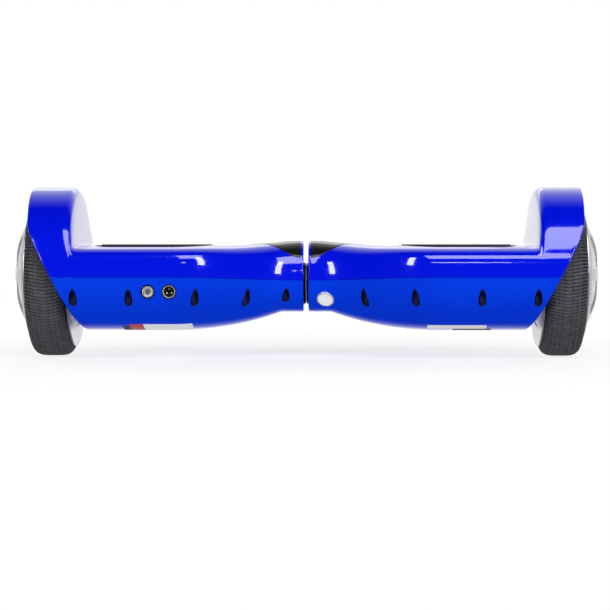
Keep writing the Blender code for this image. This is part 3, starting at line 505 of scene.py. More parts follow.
def joined(*meshes):
    """Several separate shapes in one bmesh."""
    whole = bmesh.new()
    for bm in meshes:
        scratch = bpy.data.meshes.new("scratch")
        bm.to_mesh(scratch)
        bm.free()
        whole.from_mesh(scratch)
        bpy.data.meshes.remove(scratch)
    return whole


def box(x, y, z):
    """Box between the two limits given on each axis, in any order."""
    bm = bmesh.new()
    bmesh.ops.create_cube(bm, size=1.0)
    spans = (x, y, z)
    bmesh.ops.scale(bm, vec=[abs(high - low) for low, high in spans], verts=bm.verts)
    bmesh.ops.translate(bm, vec=[(low + high) / 2 for low, high in spans], verts=bm.verts)
    return bm


def rounded_box(x, y, z, radius):
    bm = box(x, y, z)
    bmesh.ops.bevel(bm, geom=bm.edges[:], offset=radius, segments=3, profile=0.5, affect="EDGES")
    return bm


def turned(profile, count, place, closed=True):
    """Solid turned about the X axis of a place from (x, radius) points, as a ring or as a solid disc."""
    bm = bmesh.new()
    turns = [2 * pi * k / count for k in range(count)]
    rows = []
    for x, r in profile:
        if r > 0.0:
            rows.append([bm.verts.new((x, r * cos(t), r * sin(t))) for t in turns])
        else:
            rows.append([bm.verts.new((x, 0.0, 0.0))])
    pairs = list(zip(rows, rows[1:]))
    if closed:
        pairs.append((rows[-1], rows[0]))
    for low, high in pairs:
        for i in range(count):
            j = (i + 1) % count
            corners = [low[i % len(low)], low[j % len(low)], high[j % len(high)], high[i % len(high)]]
            face = [v for n, v in enumerate(corners) if v not in corners[:n]]
            if len(face) > 2:
                bm.faces.new(face)
    bmesh.ops.transform(bm, matrix=place, verts=bm.verts)
    return bm


def softened(profile, radius, count=3):
    """Closed profile with its corners rounded."""
    points = [Vector(point) for point in profile]
    line = []
    for before, corner, after in zip(points[-1:] + points[:-1], points, points[1:] + points[:1]):
        back, ahead = before - corner, after - corner
        reach = min(radius, 0.4 * back.length, 0.4 * ahead.length)
        start = corner + back.normalized() * reach
        end = corner + ahead.normalized() * reach
        for t in steps(0.0, 1.0, count):
            line.append(tuple((1 - t) ** 2 * start + 2 * t * (1 - t) * corner + t ** 2 * end))
    return line


def along_x(z):
    return Matrix.Translation((0, 0, z))


def along_y(x, z):
    return Matrix.Translation((x, 0, z)) @ Matrix.Rotation(radians(90), 4, "Z")


def along_z(x, y):
    return Matrix.Translation((x, y, 0)) @ Matrix.Rotation(radians(-90), 4, "Y")


def rod(low, high, radius, count, place):
    return turned([(low, 0), (low, radius), (high, radius), (high, 0)], count, place, closed=False)


def mirrored_x(bm, side):
    bmesh.ops.scale(bm, vec=(side, 1, 1), verts=bm.verts)
    return bm


# Shell surface, as in the CAD

def share_between(value, limits):
    """How far a value is from the first limit to the second, kept from 0 to 1."""
    return min(max((value - limits[0]) / (limits[1] - limits[0]), 0.0), 1.0)


def ease(value, limits):
    """Smooth rise from 0 to 1 between two limits."""
    t = share_between(value, limits)
    return t * t * (3.0 - 2.0 * t)


def half_depth(u):
    return WAIST_HALF_DEPTH + (BODY_HALF_DEPTH - WAIST_HALF_DEPTH) * ease(u, FLARE)


def parting_z(u):
    return WAIST_PARTING_Z + (PARTING_Z - WAIST_PARTING_Z) * ease(u, FLARE)


def crown_z(u):
    return WAIST_CROWN_Z + (DECK_Z - WAIST_CROWN_Z) * ease(u, CROWN_FALL)


def keel_z(u):
    t = share_between(u, KEEL_FALL)
    return WAIST_KEEL_Z + (KEEL_Z - WAIST_KEEL_Z) * (1.0 - (1.0 - t) ** KEEL_POWER)


def upper_power(u):
    return WAIST_POWER + (DECK_POWER - WAIST_POWER) * ease(u, DECK_SQUARING)


def edge_x(z):
    """Distance u of the shell's edge beside the wheel, at height z."""
    for (z0, u0), (z1, u1) in zip(EDGE_LINE, EDGE_LINE[1:]):
        if z < z1:
            break
    return u0 + (u1 - u0) * (z - z0) / (z1 - z0)


def bulge(reach, power):
    """Height of a superellipse of radius 1 at a reach from its middle."""
    return (1.0 - reach ** power) ** (1.0 / power)


def arch_point(u, angle, base, top, depth, power):
    """Point of a superellipse arch from (depth, base) over or under the middle at height top."""
    c = cos(angle)
    s = max(sin(angle), 0.0)
    y = depth * copysign(abs(c) ** (2 / power), c)
    return Vector((u, y, base + (top - base) * s ** (2 / power)))


def upper_skin(u, angle, inset=0.0, crown_inset=None):
    base = parting_z(u) + GAP / 2
    drop = inset if crown_inset is None else crown_inset
    return arch_point(u, angle, base, crown_z(u) - drop, half_depth(u) - inset, upper_power(u))


def upper_lining(u, angle):
    return upper_skin(u, angle, WALL, WALL + (DECK_WALL - WALL) * ease(u, DECK_THICKENING))


def lower_skin(u, angle, inset=0.0):
    base = parting_z(u) - GAP / 2
    return arch_point(u, angle, base, keel_z(u) + inset, half_depth(u) - inset, LOWER_POWER)


def wheel_arch(u, angle, top, inset=0.0):
    """Point of the wheel arch, which is as deep as the deck where the deck is the deeper of the two."""
    base = PARTING_Z + GAP / 2
    point = arch_point(u, angle, base, top, BODY_HALF_DEPTH - inset, 2.0)
    rise = (point.z - base) / (DECK_Z - base)
    if 0.0 <= rise < 1.0:
        deck = (BODY_HALF_DEPTH - inset) * bulge(rise, DECK_POWER)
        point.y = copysign(max(abs(point.y), deck), point.y)
    return point


def split_hole(u, angle, centre_z, radius, base, upward):
    """Point on a round hole that the parting plane at height base cuts in two."""
    start = asin((base - centre_z) / radius)
    if upward:
        turn = start + angle * (pi - 2 * start) / pi
    else:
        turn = start - angle * (pi + 2 * start) / pi
    return Vector((u, radius * cos(turn), centre_z + radius * sin(turn)))


def waist_hole(u, angle, upward):
    return split_hole(u, angle, PIVOT_Z, TUBE_HOLE, WAIST_PARTING_Z + (GAP if upward else -GAP) / 2, upward)


def axle_hole(u, angle, upward):
    return split_hole(u, angle, AXLE_Z, AXLE_HOLE, PARTING_Z + (GAP if upward else -GAP) / 2, upward)


def crown_height(u, y):
    """Height of the upper skin over a point of its plan."""
    reach = min(abs(y) / half_depth(u), 1.0)
    base = parting_z(u) + GAP / 2
    return base + (crown_z(u) - base) * bulge(reach, upper_power(u))


def belly_height(u, y):
    """Height of the lower skin under a point of its plan."""
    reach = min(abs(y) / half_depth(u), 1.0)
    base = parting_z(u) - GAP / 2
    return base - (base - keel_z(u)) * bulge(reach, LOWER_POWER)


def side_reach(u, z):
    """Half depth of the lower skin at height z."""
    base = parting_z(u) - GAP / 2
    drop = min(max((base - z) / (base - keel_z(u)), 0.0), 1.0)
    return half_depth(u) * bulge(drop, LOWER_POWER)


def waist_lip(skin, angle):
    """Rounded edge where a cover's skin meets its waist face."""
    line = []
    for turn in arc(90, 15, 5):
        u = WAIST_FACE_X + WAIST_LIP * (1 - sin(turn))
        line.append(skin(u, angle, WAIST_LIP * (1 - cos(turn))))
    return line


def edge_line(edge):
    """Rounded edge beside the wheel, as u and inset."""
    return [(edge - EDGE_ROUND * (1 - sin(turn)), EDGE_ROUND * (1 - cos(turn))) for turn in arc(20, 180, 8)]


def upper_wall(angle):
    """Closed line round the upper cover's wall in one slice of its arch, the outer side first."""
    corner_x = ARCH_WALL_TOP_X + ARCH_CORNER
    corner_z = ARCH_TOP_Z - ARCH_CORNER
    line = waist_lip(upper_skin, angle)
    line += [upper_skin(u, angle) for u in steps(WAIST_FACE_X + WAIST_LIP, ARCH_WALL_X - ARCH_FILLET, 70)]
    head = wheel_arch(ARCH_WALL_TOP_X, angle, corner_z)
    climb = head - upper_skin(ARCH_WALL_X, angle)
    fillet = ARCH_FILLET * climb.length / (climb.length + ARCH_FILLET)
    for turn in arc(10, 90, 6):
        foot = upper_skin(ARCH_WALL_X - fillet * (1 - sin(turn)), angle)
        line.append(foot + climb.normalized() * fillet * (1 - cos(turn)))
    start = line[-1]
    line += [start.lerp(head, t) for t in steps(0.1, 0.9, 8)]
    for turn in arc(0, 90, 10):
        u = corner_x - ARCH_CORNER * cos(turn)
        line.append(wheel_arch(u, angle, corner_z + ARCH_CORNER * sin(turn)))
    edge = edge_x(line[-1].z)
    line += [wheel_arch(u, angle, ARCH_TOP_Z) for u in steps(corner_x, edge - EDGE_ROUND, 7)[1:]]
    line += [wheel_arch(u, angle, ARCH_TOP_Z - inset, inset) for u, inset in edge_line(edge)]
    for turn in arc(90, 0, 6):
        u = corner_x - (ARCH_CORNER - WALL) * cos(turn)
        line.append(wheel_arch(u, angle, corner_z + (ARCH_CORNER - WALL) * sin(turn), WALL))
    line.append(axle_hole(PARTITION_X + WALL, angle, True))
    line.append(axle_hole(PARTITION_X, angle, True))
    line.append(upper_lining(PARTITION_X - GAP, angle))
    line += [upper_lining(u, angle) for u in reversed(LINING_ROWS)]
    line.append(upper_lining(WAIST_FACE_X + WALL, angle))
    line.append(waist_hole(WAIST_FACE_X + WALL, angle, True))
    line.append(waist_hole(WAIST_FACE_X, angle, True))
    return line


def lower_wall(angle):
    """The same for the lower cover, whose edge follows the wheel down to the partition."""
    line = waist_lip(lower_skin, angle)
    line += [lower_skin(u, angle) for u in steps(WAIST_FACE_X + WAIST_LIP, LOWER_SKIN_END, 64)]
    edge = edge_x(line[-1].z)
    well = min(PARTITION_X + WALL, edge - EDGE_LIP)
    line += [lower_skin(u, angle) for u in steps(LOWER_SKIN_END, edge - EDGE_ROUND, 8)[1:]]
    line += [lower_skin(u, angle, inset) for u, inset in edge_line(edge)]
    line.append(lower_skin(min(well, edge - 1.5 * EDGE_ROUND), angle, WALL))
    line.append(axle_hole(PARTITION_X + WALL, angle, False))
    line.append(axle_hole(PARTITION_X, angle, False))
    line.append(lower_skin(well - WALL, angle, WALL))
    line += [lower_skin(u, angle, WALL) for u in reversed(LINING_ROWS + (LOWER_SKIN_END,))]
    line.append(lower_skin(WAIST_FACE_X + WALL, angle, WALL))
    line.append(waist_hole(WAIST_FACE_X + WALL, angle, False))
    line.append(waist_hole(WAIST_FACE_X, angle, False))
    return line


def swept_cover(wall, side):
    return mirrored_x(loft([wall(angle) for angle in steps(0.0, pi, ARCH_STEPS)]), side)


# Covers

def leaf_patch(side, grow, below, above, rows, columns, edge=0.0):
    """Leaf-shaped patch that follows the crown of the waist, thinner at its edge if asked."""
    low, high = PANEL_ENDS
    rings = []
    for i in range(rows + 1):
        t = 0.985 * i / rows
        u = low - grow + (high - low + 2 * grow) * t
        half = (PANEL_HALF_WIDTH + grow) * (1.0 - t * t)
        ys = [half * sin(pi / 2 * (2 * k / columns - 1.0)) for k in range(columns + 1)]
        top = []
        for y in ys:
            margin = min(half - abs(y), u - low + grow, 2.0)
            top.append(Vector((side * u, y, crown_height(u, y) + above - edge * (1 - margin / 2.0) ** 2)))
        bottom = [Vector((side * u, y, crown_height(u, y) - below)) for y in reversed(ys)]
        rings.append(top + bottom)
    return loft(rings)


def pad_outline(grow, count=10):
    """Rounded rectangle of a footpad, with its large corners towards the waist."""
    low, high = PAD_ENDS[0] - grow, PAD_ENDS[1] + grow
    half = PAD_HALF_WIDTH + grow
    outline = []
    corners = (
        (high, half, PAD_WHEEL_CORNER, 0),
        (low, half, PAD_WAIST_CORNER, 90),
        (low, -half, PAD_WAIST_CORNER, 180),
        (high, -half, PAD_WHEEL_CORNER, 270),
    )
    middle = sum(PAD_ENDS) / 2
    for x, y, radius, first in corners:
        radius += grow
        centre = (x - copysign(radius, x - middle), y - copysign(radius, y))
        for turn in arc(first, first + 90, count):
            outline.append((centre[0] + radius * cos(turn), centre[1] + radius * sin(turn)))
    return outline


def pad_slab(side, grow, levels):
    """Slab on the footpad's outline; levels are (z, inset) from the bottom up."""
    return loft([[Vector((side * x, y, z)) for x, y in pad_outline(grow - inset)] for z, inset in levels])


def upper_cover(half, side):
    cover = new_object(f"upper_shell_{half}", swept_cover(upper_wall, side), "upper_blue")
    floor = PAD_TOP_Z - PAD_THICKNESS - PAD_TRAVEL - GAP
    pocket = pad_slab(side, 2 * GAP, ((floor, 0), (DECK_Z - 0.5, 0), (DECK_Z, -0.5), (PAD_TOP_Z + 10, -0.5)))
    recess = leaf_patch(side, GAP, PANEL_THICKNESS + GAP, 8.0, 24, 24)
    window_x = (side * (LAMP_X[0] - GAP), side * (LAMP_X[1] + GAP))
    window = box(window_x, (80.0, 100.0), (LAMP_Z[0] - GAP, LAMP_Z[1] + GAP))
    # The cut faces get the dark inner finish: painted shade in the pad pocket, the panel recess and the lamp
    # window.
    carved(cover, joined(pocket, recess, window), "raw_blue")
    shade(cover.data, 35.0)
    settle(cover, f"{half}_half", "upper_blue", f"upper_cover_{half}")


def channel_places():
    """Centre u and |y| of each screw channel, which touches the skin at the height of its mouth."""
    places = []
    for u in CHANNEL_X:
        reaches = []
        for turn in arc(0, 180, 12):
            skin = side_reach(u + CHANNEL_RADIUS * cos(turn), CHANNEL_MOUTH_Z)
            reaches.append(skin - CHANNEL_RADIUS * sin(turn))
        places.append((u, min(reaches)))
    return places


def open_channels(side):
    """Channels of one half as u, |y| and end; the badge covers the one by the waist on the right half."""
    covered = (HALVES["right"], CHANNEL_X[0], ENDS["socket"])
    return [(u, y, end) for u, y in channel_places() for end in ENDS.values() if (side, u, end) != covered]


def channel_sleeve(side, u, y, end):
    """Wall of one screw channel, trimmed to the inside of the skin, with its seat at the top."""
    def spot(offset, z, share=1.0):
        return (side * (u + share * offset[0]), end * (y + share * offset[1]), z)

    rings = []
    for k in range(28):
        turn = 2 * pi * k / 28
        inner, outer = [(radius * cos(turn), radius * sin(turn))
                        for radius in (CHANNEL_RADIUS, CHANNEL_RADIUS + CHANNEL_WALL)]
        reach = side_reach(u + outer[0], CHANNEL_MOUTH_Z) - CHANNEL_COVER - y
        outer = (outer[0], min(outer[1], reach))
        line = []
        for offset in (inner, outer):
            foot = belly_height(u + offset[0], y + offset[1]) + 0.5
            line.append(spot(offset, min(foot, CHANNEL_TOP_Z - 0.5)))
        line += [spot(outer, CHANNEL_TOP_Z + 1.0), spot(outer, CHANNEL_TOP_Z + 1.0, 0.3)]
        line += [spot(inner, CHANNEL_TOP_Z, 0.3), spot(inner, CHANNEL_TOP_Z)]
        rings.append(line)
    return loft(rings + [rings[0]], ends=False)


def lower_cover(half, side):
    cover = new_object(f"lower_shell_{half}", swept_cover(lower_wall, side), "lower_blue")
    tools = []
    sleeves = []
    for u, y, end in open_channels(side):
        tools.append(rod(KEEL_Z - 10, CHANNEL_TOP_Z, CHANNEL_RADIUS, 28, along_z(side * u, end * y)))
        sleeves.append(channel_sleeve(side, u, y, end))
    if half == "left":
        tools.append(rod(FITTING_FACE_Y - 12, FITTING_ROOT_Y, PORT_HOLE, 48, along_y(PORT_X, FITTING_Z)))
        tools.append(rod(FITTING_FACE_Y - 12, FITTING_ROOT_Y, BUTTON_HOLE, 48, along_y(BUTTON_X, FITTING_Z)))
    # The hole walls and the channel sleeves get the dark inner finish: painted shade inside the screw channels
    # and round the fittings.
    carved(cover, joined(*tools), "raw_blue")
    walls = joined(*sleeves)
    bmesh.ops.remove_doubles(walls, verts=walls.verts, dist=MERGE)
    bmesh.ops.recalc_face_normals(walls, faces=walls.faces)
    bmesh.ops.scale(walls, vec=(MM, MM, MM), verts=walls.verts)
    painted_shade_slot = list(cover.data.materials).index(FINISHES["raw_blue"])
    for face in walls.faces:
        face.material_index = painted_shade_slot
    skin = bmesh.new()
    skin.from_mesh(cover.data)
    whole = joined(skin, walls)
    whole.to_mesh(cover.data)
    whole.free()
    shade(cover.data, 35.0)
    settle(cover, f"{half}_half", "lower_blue", f"lower_cover_{half}")


def shell_screws(half, side):
    """Pan-head screws with cross recesses, one up each channel."""
    radius = 3.6
    dome = [(-2.2 * cos(turn), radius * sin(turn)) for turn in arc(0, 80, 8)]
    profile = dome + [(-0.1, radius), (0.0, radius), (0.0, 1.6), (4.0, 1.6), (4.0, 0.0)]
    head = new_object(f"shell_screw_{half}", turned(profile, 32, along_z(0, 0), False), "steel")
    carved(head, box((-2.0, 2.0), (-0.4, 0.4), (-3.0, -1.0)), "steel")
    carved(head, box((-0.4, 0.4), (-2.0, 2.0), (-3.0, -1.0)), "steel")
    shade(head.data, 35.0)
    for number, (u, y, end) in enumerate(open_channels(side), 1):
        screw = linked(f"shell_screw_{half}_{number}", head.data)
        screw.location = Vector((side * u, end * y, CHANNEL_TOP_Z - 0.05)) * MM
        screw.rotation_euler.z = 0.7 * number
        settle(screw, f"{half}_half", "steel")
    bpy.data.objects.remove(head, do_unlink=True)


# Trim on the shell

def waist_panel(half, side):
    panel = leaf_patch(side, 0, PANEL_THICKNESS, PANEL_PROUD, 30, 28, 0.5)
    body = f"{half}_half"
    piece(f"waist_cap_{half}", panel, body, "gloss_black", f"waist_panel_{half}", sharp=50.0)
    low = PANEL_ENDS[0]
    marks = []
    for i in range(3):
        u, y = low + 13.0, 8.0 * (i - 1)
        ring = [(side * (u + 4.2 * cos(t)), y + 1.7 * sin(t)) for t in arc(0, 345, 23)]
        marks.append(loft([[Vector((x, v, crown_height(abs(x), v) + PANEL_PROUD + lift)) for x, v in ring]
                           for lift in (-0.3, 0.18)]))
    piece(f"indicator_{half}", joined(*marks), body, "lamp_lens", sharp=30.0)


def lamp_skin(z):
    rise = (z - PARTING_Z) / (DECK_Z - PARTING_Z)
    return half_depth(LAMP_X[0]) * bulge(rise, DECK_POWER)


def headlight(half, side):
    """Fluted lens over a bright trough with a row of lamps."""
    rings = []
    flutes = 22
    for k in range(flutes * 8 + 1):
        u = LAMP_X[0] + (LAMP_X[1] - LAMP_X[0]) * k / (flutes * 8)
        wave = 0.22 * (1 - cos(2 * pi * k / 8)) / 2
        line = [Vector((side * u, LAMP_BACK_Y + 1.0, LAMP_Z[0]))]
        line += [Vector((side * u, lamp_skin(z) - wave, z)) for z in steps(LAMP_Z[0], LAMP_Z[1], 8)]
        line.append(Vector((side * u, LAMP_BACK_Y + 1.0, LAMP_Z[1])))
        rings.append(line)
    piece(f"headlight_lens_{half}", loft(rings), f"{half}_half", "lamp_lens", f"headlight_{half}",
          sharp=30.0)


def badge():
    """Blank round badge on the right lower cover, tilted with the skin."""
    u, z = 19.4, 58.0
    y = -side_reach(u, z)
    step = 0.5
    along = Vector((2 * step, -(side_reach(u + step, z) - side_reach(u - step, z)), 0))
    up = Vector((0, -(side_reach(u, z + step) - side_reach(u, z - step)), 2 * step))
    outward = along.cross(up).normalized()
    place = Matrix.Translation((u, y, z)) @ outward.to_track_quat("X", "Z").to_matrix().to_4x4()
    rim = softened([(-1.5, 7.4), (-1.5, 8.7), (0.7, 8.7), (1.0, 8.1), (0.8, 7.4)], 0.25)
    piece("badge_rim", turned(rim, 64, place), "right_half", "chrome")
    face = [(-1.0, 0), (-1.0, 7.5), (0.6, 7.5)]
    face += [(0.6 + 0.35 * (1 - (r / 7.5) ** 2), r) for r in (6.5, 5.0, 3.5, 2.0)] + [(0.95, 0)]
    piece("badge_face", turned(face, 64, place, False), "right_half", "nylon", finish="badge_white",
          sharp=60.0)


def label(name, side, finish, u_limits, y_limits):
    """Blank printed label on the underside, following the skin."""
    rings = []
    for u in steps(*u_limits, 24):
        ys = steps(*y_limits, 24)
        skin = [Vector((side * u, y, belly_height(u, y) - 0.15)) for y in ys]
        back = [Vector((side * u, y, belly_height(u, y) + 0.3)) for y in reversed(ys)]
        rings.append(skin + back)
    half = "left" if side < 0 else "right"
    piece(name, loft(rings), f"{half}_half", "nylon", finish=finish, sharp=50.0)


def labels():
    label("label_left_white", -1, "label_white", (111.5, 160.0), (-57.0, 30.0))
    label("label_left_red", -1, "label_red", (160.3, 173.5), (-57.0, 30.0))
    label("label_left_black", -1, "label_black", (173.8, 181.0), (-50.0, 30.0))
    label("label_right_white", 1, "label_white", (120.0, 178.0), (-54.0, -38.0))
    label("label_right_black", 1, "label_black", (146.0, 184.0), (-37.7, 30.0))


# Wheels

def tyre(half, side):
    """Tyre with chevron blocks, three grooves each side of the middle, and sipes through the shoulders."""
    middle = sum(TYRE_X) / 2
    reach = (TYRE_X[1] - TYRE_X[0]) / 2
    side_radius = 70.0
    grooves = ((0.20, 0.23), (0.44, 0.47), (0.66, 0.69))
    half_rows = [0.0, 0.08]
    for start, stop in grooves:
        half_rows += [start - 0.02, start, stop, stop + 0.02, stop + 0.09]
    half_rows += [0.84, 0.89, 0.93, 0.96, 0.985, 1.0]
    rows = [-t for t in reversed(half_rows[1:])] + half_rows
    pitch = 2 * pi / SIPES
    columns = (0.0, 0.24, 0.34, 0.66, 0.76)
    bead = ((0.4, 67.5), (1.1, 66.9), (1.3, 65.5), (0.9, 64.7), (2.0, TYRE_BORE))
    walls = [(TYRE_X[1] - inset, radius) for inset, radius in bead]
    walls += [(TYRE_X[0] + inset, radius) for inset, radius in reversed(bead)]
    rings = []
    for tooth in range(SIPES):
        for share in columns:
            in_sipe = share in (0.34, 0.66)
            line = []
            for t in rows:
                away = abs(t)
                width = 0.45 + 0.55 * ease(away, (0.55, 0.75))
                turn = (tooth + 0.5 + (share - 0.5) * width - 0.9 * away) * pitch
                depth = 0.0
                if any(start <= away <= stop for start, stop in grooves):
                    depth = 0.6
                elif in_sipe and 0.72 <= away <= 0.985:
                    depth = 2.0
                elif in_sipe and away >= 0.08:
                    depth = 1.1
                elif in_sipe:
                    depth = 0.5
                radius = side_radius + (WHEEL_RADIUS - side_radius) * (1 - away ** 4.5) ** (1 / 2.2)
                radius -= depth
                line.append(Vector((side * (middle + reach * t), radius * cos(turn), radius * sin(turn))))
            turn = (tooth + share - 0.9) * pitch
            for x, radius in walls:
                line.append(Vector((side * x, radius * cos(turn), radius * sin(turn))))
            rings.append(line)
    bm = loft(rings + [rings[0]], ends=False)
    ring_length = len(rings[0])
    sipe = columns.index(0.34)
    # Sipe floors away from the middle take the darker copy of the tread rubber, as painted shade in the sipes.
    for number, face in enumerate(bm.faces):
        column, row = divmod(number, ring_length)
        if column % len(columns) == sipe and row < len(rows) - 1 and abs(rows[row] + rows[row + 1]) > 0.16:
            face.material_index = 1
    bmesh.ops.remove_doubles(bm, verts=bm.verts, dist=MERGE)
    bmesh.ops.translate(bm, vec=(0, 0, AXLE_Z), verts=bm.verts)
    tread = new_object(f"tread_{half}", bm, "tyre_rubber", 40.0)
    tread.data.materials.append(FINISHES["tyre_groove"])
    settle(tread, f"{half}_wheel", "tyre_rubber", f"tyre_{half}")


def rim(half, side):
    """Polished rim: wide inner flange, drum and rolled outer lip."""
    low, high = RIM_X
    seat = TYRE_BORE - GAP
    profile = [(low, 52), (low, 73), (low + 2.2, 73), (low + 2.2, seat), (high - 2, seat), (high - 2, 66)]
    profile += [(high, 66), (high, 58), (low + 4.5, 58), (low + 4.5, 52)]
    line = [(side * x, r) for x, r in softened(profile, 0.8)]
    piece(f"wheel_rim_{half}", turned(line, 160, along_x(AXLE_Z)), f"{half}_wheel", "alloy", f"rim_{half}")


def inner_cover(half, side):
    """Motor cover on the board's side of the wheel, with a stepped face and a ring of screws."""
    low = INNER_COVER_X
    profile = [(low + 1.8, 10.5), (low + 0.2, 12.0), (low + 0.2, 19.0), (low + 0.9, 20.0), (low + 0.9, 27.0),
               (low, 28.5), (low, 38.5), (low + 0.8, 39.5), (low + 0.8, 46.0), (low, 47.0), (low, 51.7),
               (low + 3.5, 51.7), (low + 3.5, 21.5), (low + 10.5, 21.5), (low + 10.5, 17.8), (low + 1.8, 17.8)]
    line = [(side * x, r) for x, r in softened(profile, 0.35)]
    body = f"{half}_wheel"
    cover = turned(line, 128, along_x(AXLE_Z))
    piece(f"motor_plate_{half}_inner", cover, body, "alloy", f"motor_cover_{half}_inner")
    screws = []
    for k in range(6):
        turn = 2 * pi * k / 6
        place = Matrix.Translation((0, 33.5 * cos(turn), AXLE_Z + 33.5 * sin(turn)))
        head = [(side * (low + 0.5), 0), (side * (low + 0.5), 2.6), (side * (low - 0.3), 2.6)]
        head += [(side * (low - 0.45), 2.3), (side * (low - 0.45), 1.3), (side * (low + 0.1), 1.2)]
        screws.append(turned(head + [(side * (low + 0.1), 0)], 18, place, False))
    piece(f"motor_screws_{half}", joined(*screws), body, "steel")


def cap_height(radius):
    """Height of the hub cap's face over its rim, at a distance from the axle."""
    return (CAP_X[1] - CAP_X[0]) * (1 - (radius / CAP_RADIUS) ** 3.6) ** 2


def hub_cap(half, side):
    """Domed cap with six spokes standing between shallow windows, and a raised centre."""
    turns = 240
    spokes = 6
    radii = steps(1.0, CAP_RADIUS - 0.3, 72)
    rings = []
    for k in range(turns):
        turn = 2 * pi * k / turns
        front = []
        for radius in radii:
            off = ((turn * spokes / (2 * pi) + 0.5) % 1.0 - 0.5) * 2 * pi / spokes
            aside = abs(radius * sin(off))
            window = ease(aside, (3.6 + 0.05 * radius, 6.4 + 0.05 * radius))
            window *= ease(radius, (17.0, 20.0)) * (1 - ease(radius, (49.0, 52.5)))
            crease = 0.5 * (ease(radius, (13.0, 13.8)) - ease(radius, (14.4, 15.2)))
            crease += 0.4 * (ease(radius, (55.0, 55.6)) - ease(radius, (56.2, 56.8)))
            height = cap_height(radius) - 2.3 * window - crease * 1.2
            front.append((radius, max(height, 0.1)))
        back = [(CAP_RADIUS - 0.1, 0.0), (54.0, 0.05), (46.0, 3.0), (38.0, 6.6), (23.0, 9.5), (1.0, 9.8)]
        line = []
        for radius, height in front + back:
            x = side * (CAP_X[0] + height)
            line.append(Vector((x, radius * cos(turn), AXLE_Z + radius * sin(turn))))
        rings.append(line)
    bm = loft(rings + [rings[0]], loop=False, ends=False)
    bmesh.ops.remove_doubles(bm, verts=bm.verts, dist=MERGE)
    open_edges = [edge for edge in bm.edges if edge.is_boundary]
    bmesh.ops.holes_fill(bm, edges=open_edges, sides=0)
    piece(f"wheel_cap_{half}", bm, f"{half}_wheel", "alloy", f"hub_cap_{half}", sharp=40.0)


# Footpads

def pad_reach(y, margin):
    """Limits of x on a footpad at a distance y from the middle, a margin in from its outline."""
    low, high = PAD_ENDS[0] + margin, PAD_ENDS[1] - margin
    half = PAD_HALF_WIDTH - margin
    limits = []
    for end, radius in ((low, PAD_WAIST_CORNER - margin), (high, PAD_WHEEL_CORNER - margin)):
        over = max(abs(y) - (half - radius), 0.0)
        draw = radius - sqrt(max(radius ** 2 - over ** 2, 0.0))
        limits.append(end + draw if end == low else end - draw)
    return limits


def tread_bar(side, x0, x1, y, width, base):
    """Raised bar with sloping sides and ends, sunk a little into the mat."""
    rings = []
    for z, inset in ((base - 0.4, 0.0), (base, 0.0), (base + 0.7 * BAR_HEIGHT, 0.35), (base + BAR_HEIGHT, 0.75)):
        w = width / 2 - inset
        rings.append([Vector((side * x, y + v, z)) for x, v in (
            (x0 + inset, -w * 0.5), (x0 + inset + 0.5, -w), (x1 - inset - 0.5, -w), (x1 - inset, -w * 0.5),
            (x1 - inset, w * 0.5), (x1 - inset - 0.5, w), (x0 + inset + 0.5, w), (x0 + inset, w * 0.5))])
    return loft(rings)


def footpad(half, side):
    bottom = PAD_TOP_Z - PAD_THICKNESS
    base = PAD_TOP_Z - BAR_HEIGHT
    levels = [(bottom, 0.0), (base - 1.2, 0.0)]
    levels += [(base - 1.2 + 1.2 * sin(turn), 1.2 * (1 - cos(turn))) for turn in arc(15, 90, 5)]
    slab = pad_slab(side, 0, levels)
    bars = []
    pitch = 5.6
    count = int((PAD_HALF_WIDTH - 6.0) / pitch)
    for row in range(-count, count + 1):
        y = row * pitch
        low, high = pad_reach(y, 5.0)
        length, space = 15.0, 2.6
        x = low - (length + space) * (0.5 if row % 2 else 0.0)
        while x < high:
            start, stop = max(x, low), min(x + length, high)
            if stop - start > 3.0:
                bars.append(tread_bar(side, start, stop, y, 3.2, base))
            x += length + space
    piece(f"foot_mat_{half}", joined(slab, *bars), f"{half}_footpad", "mat_rubber",
          f"footpad_{half}", sharp=30.0)


# Socket and power button

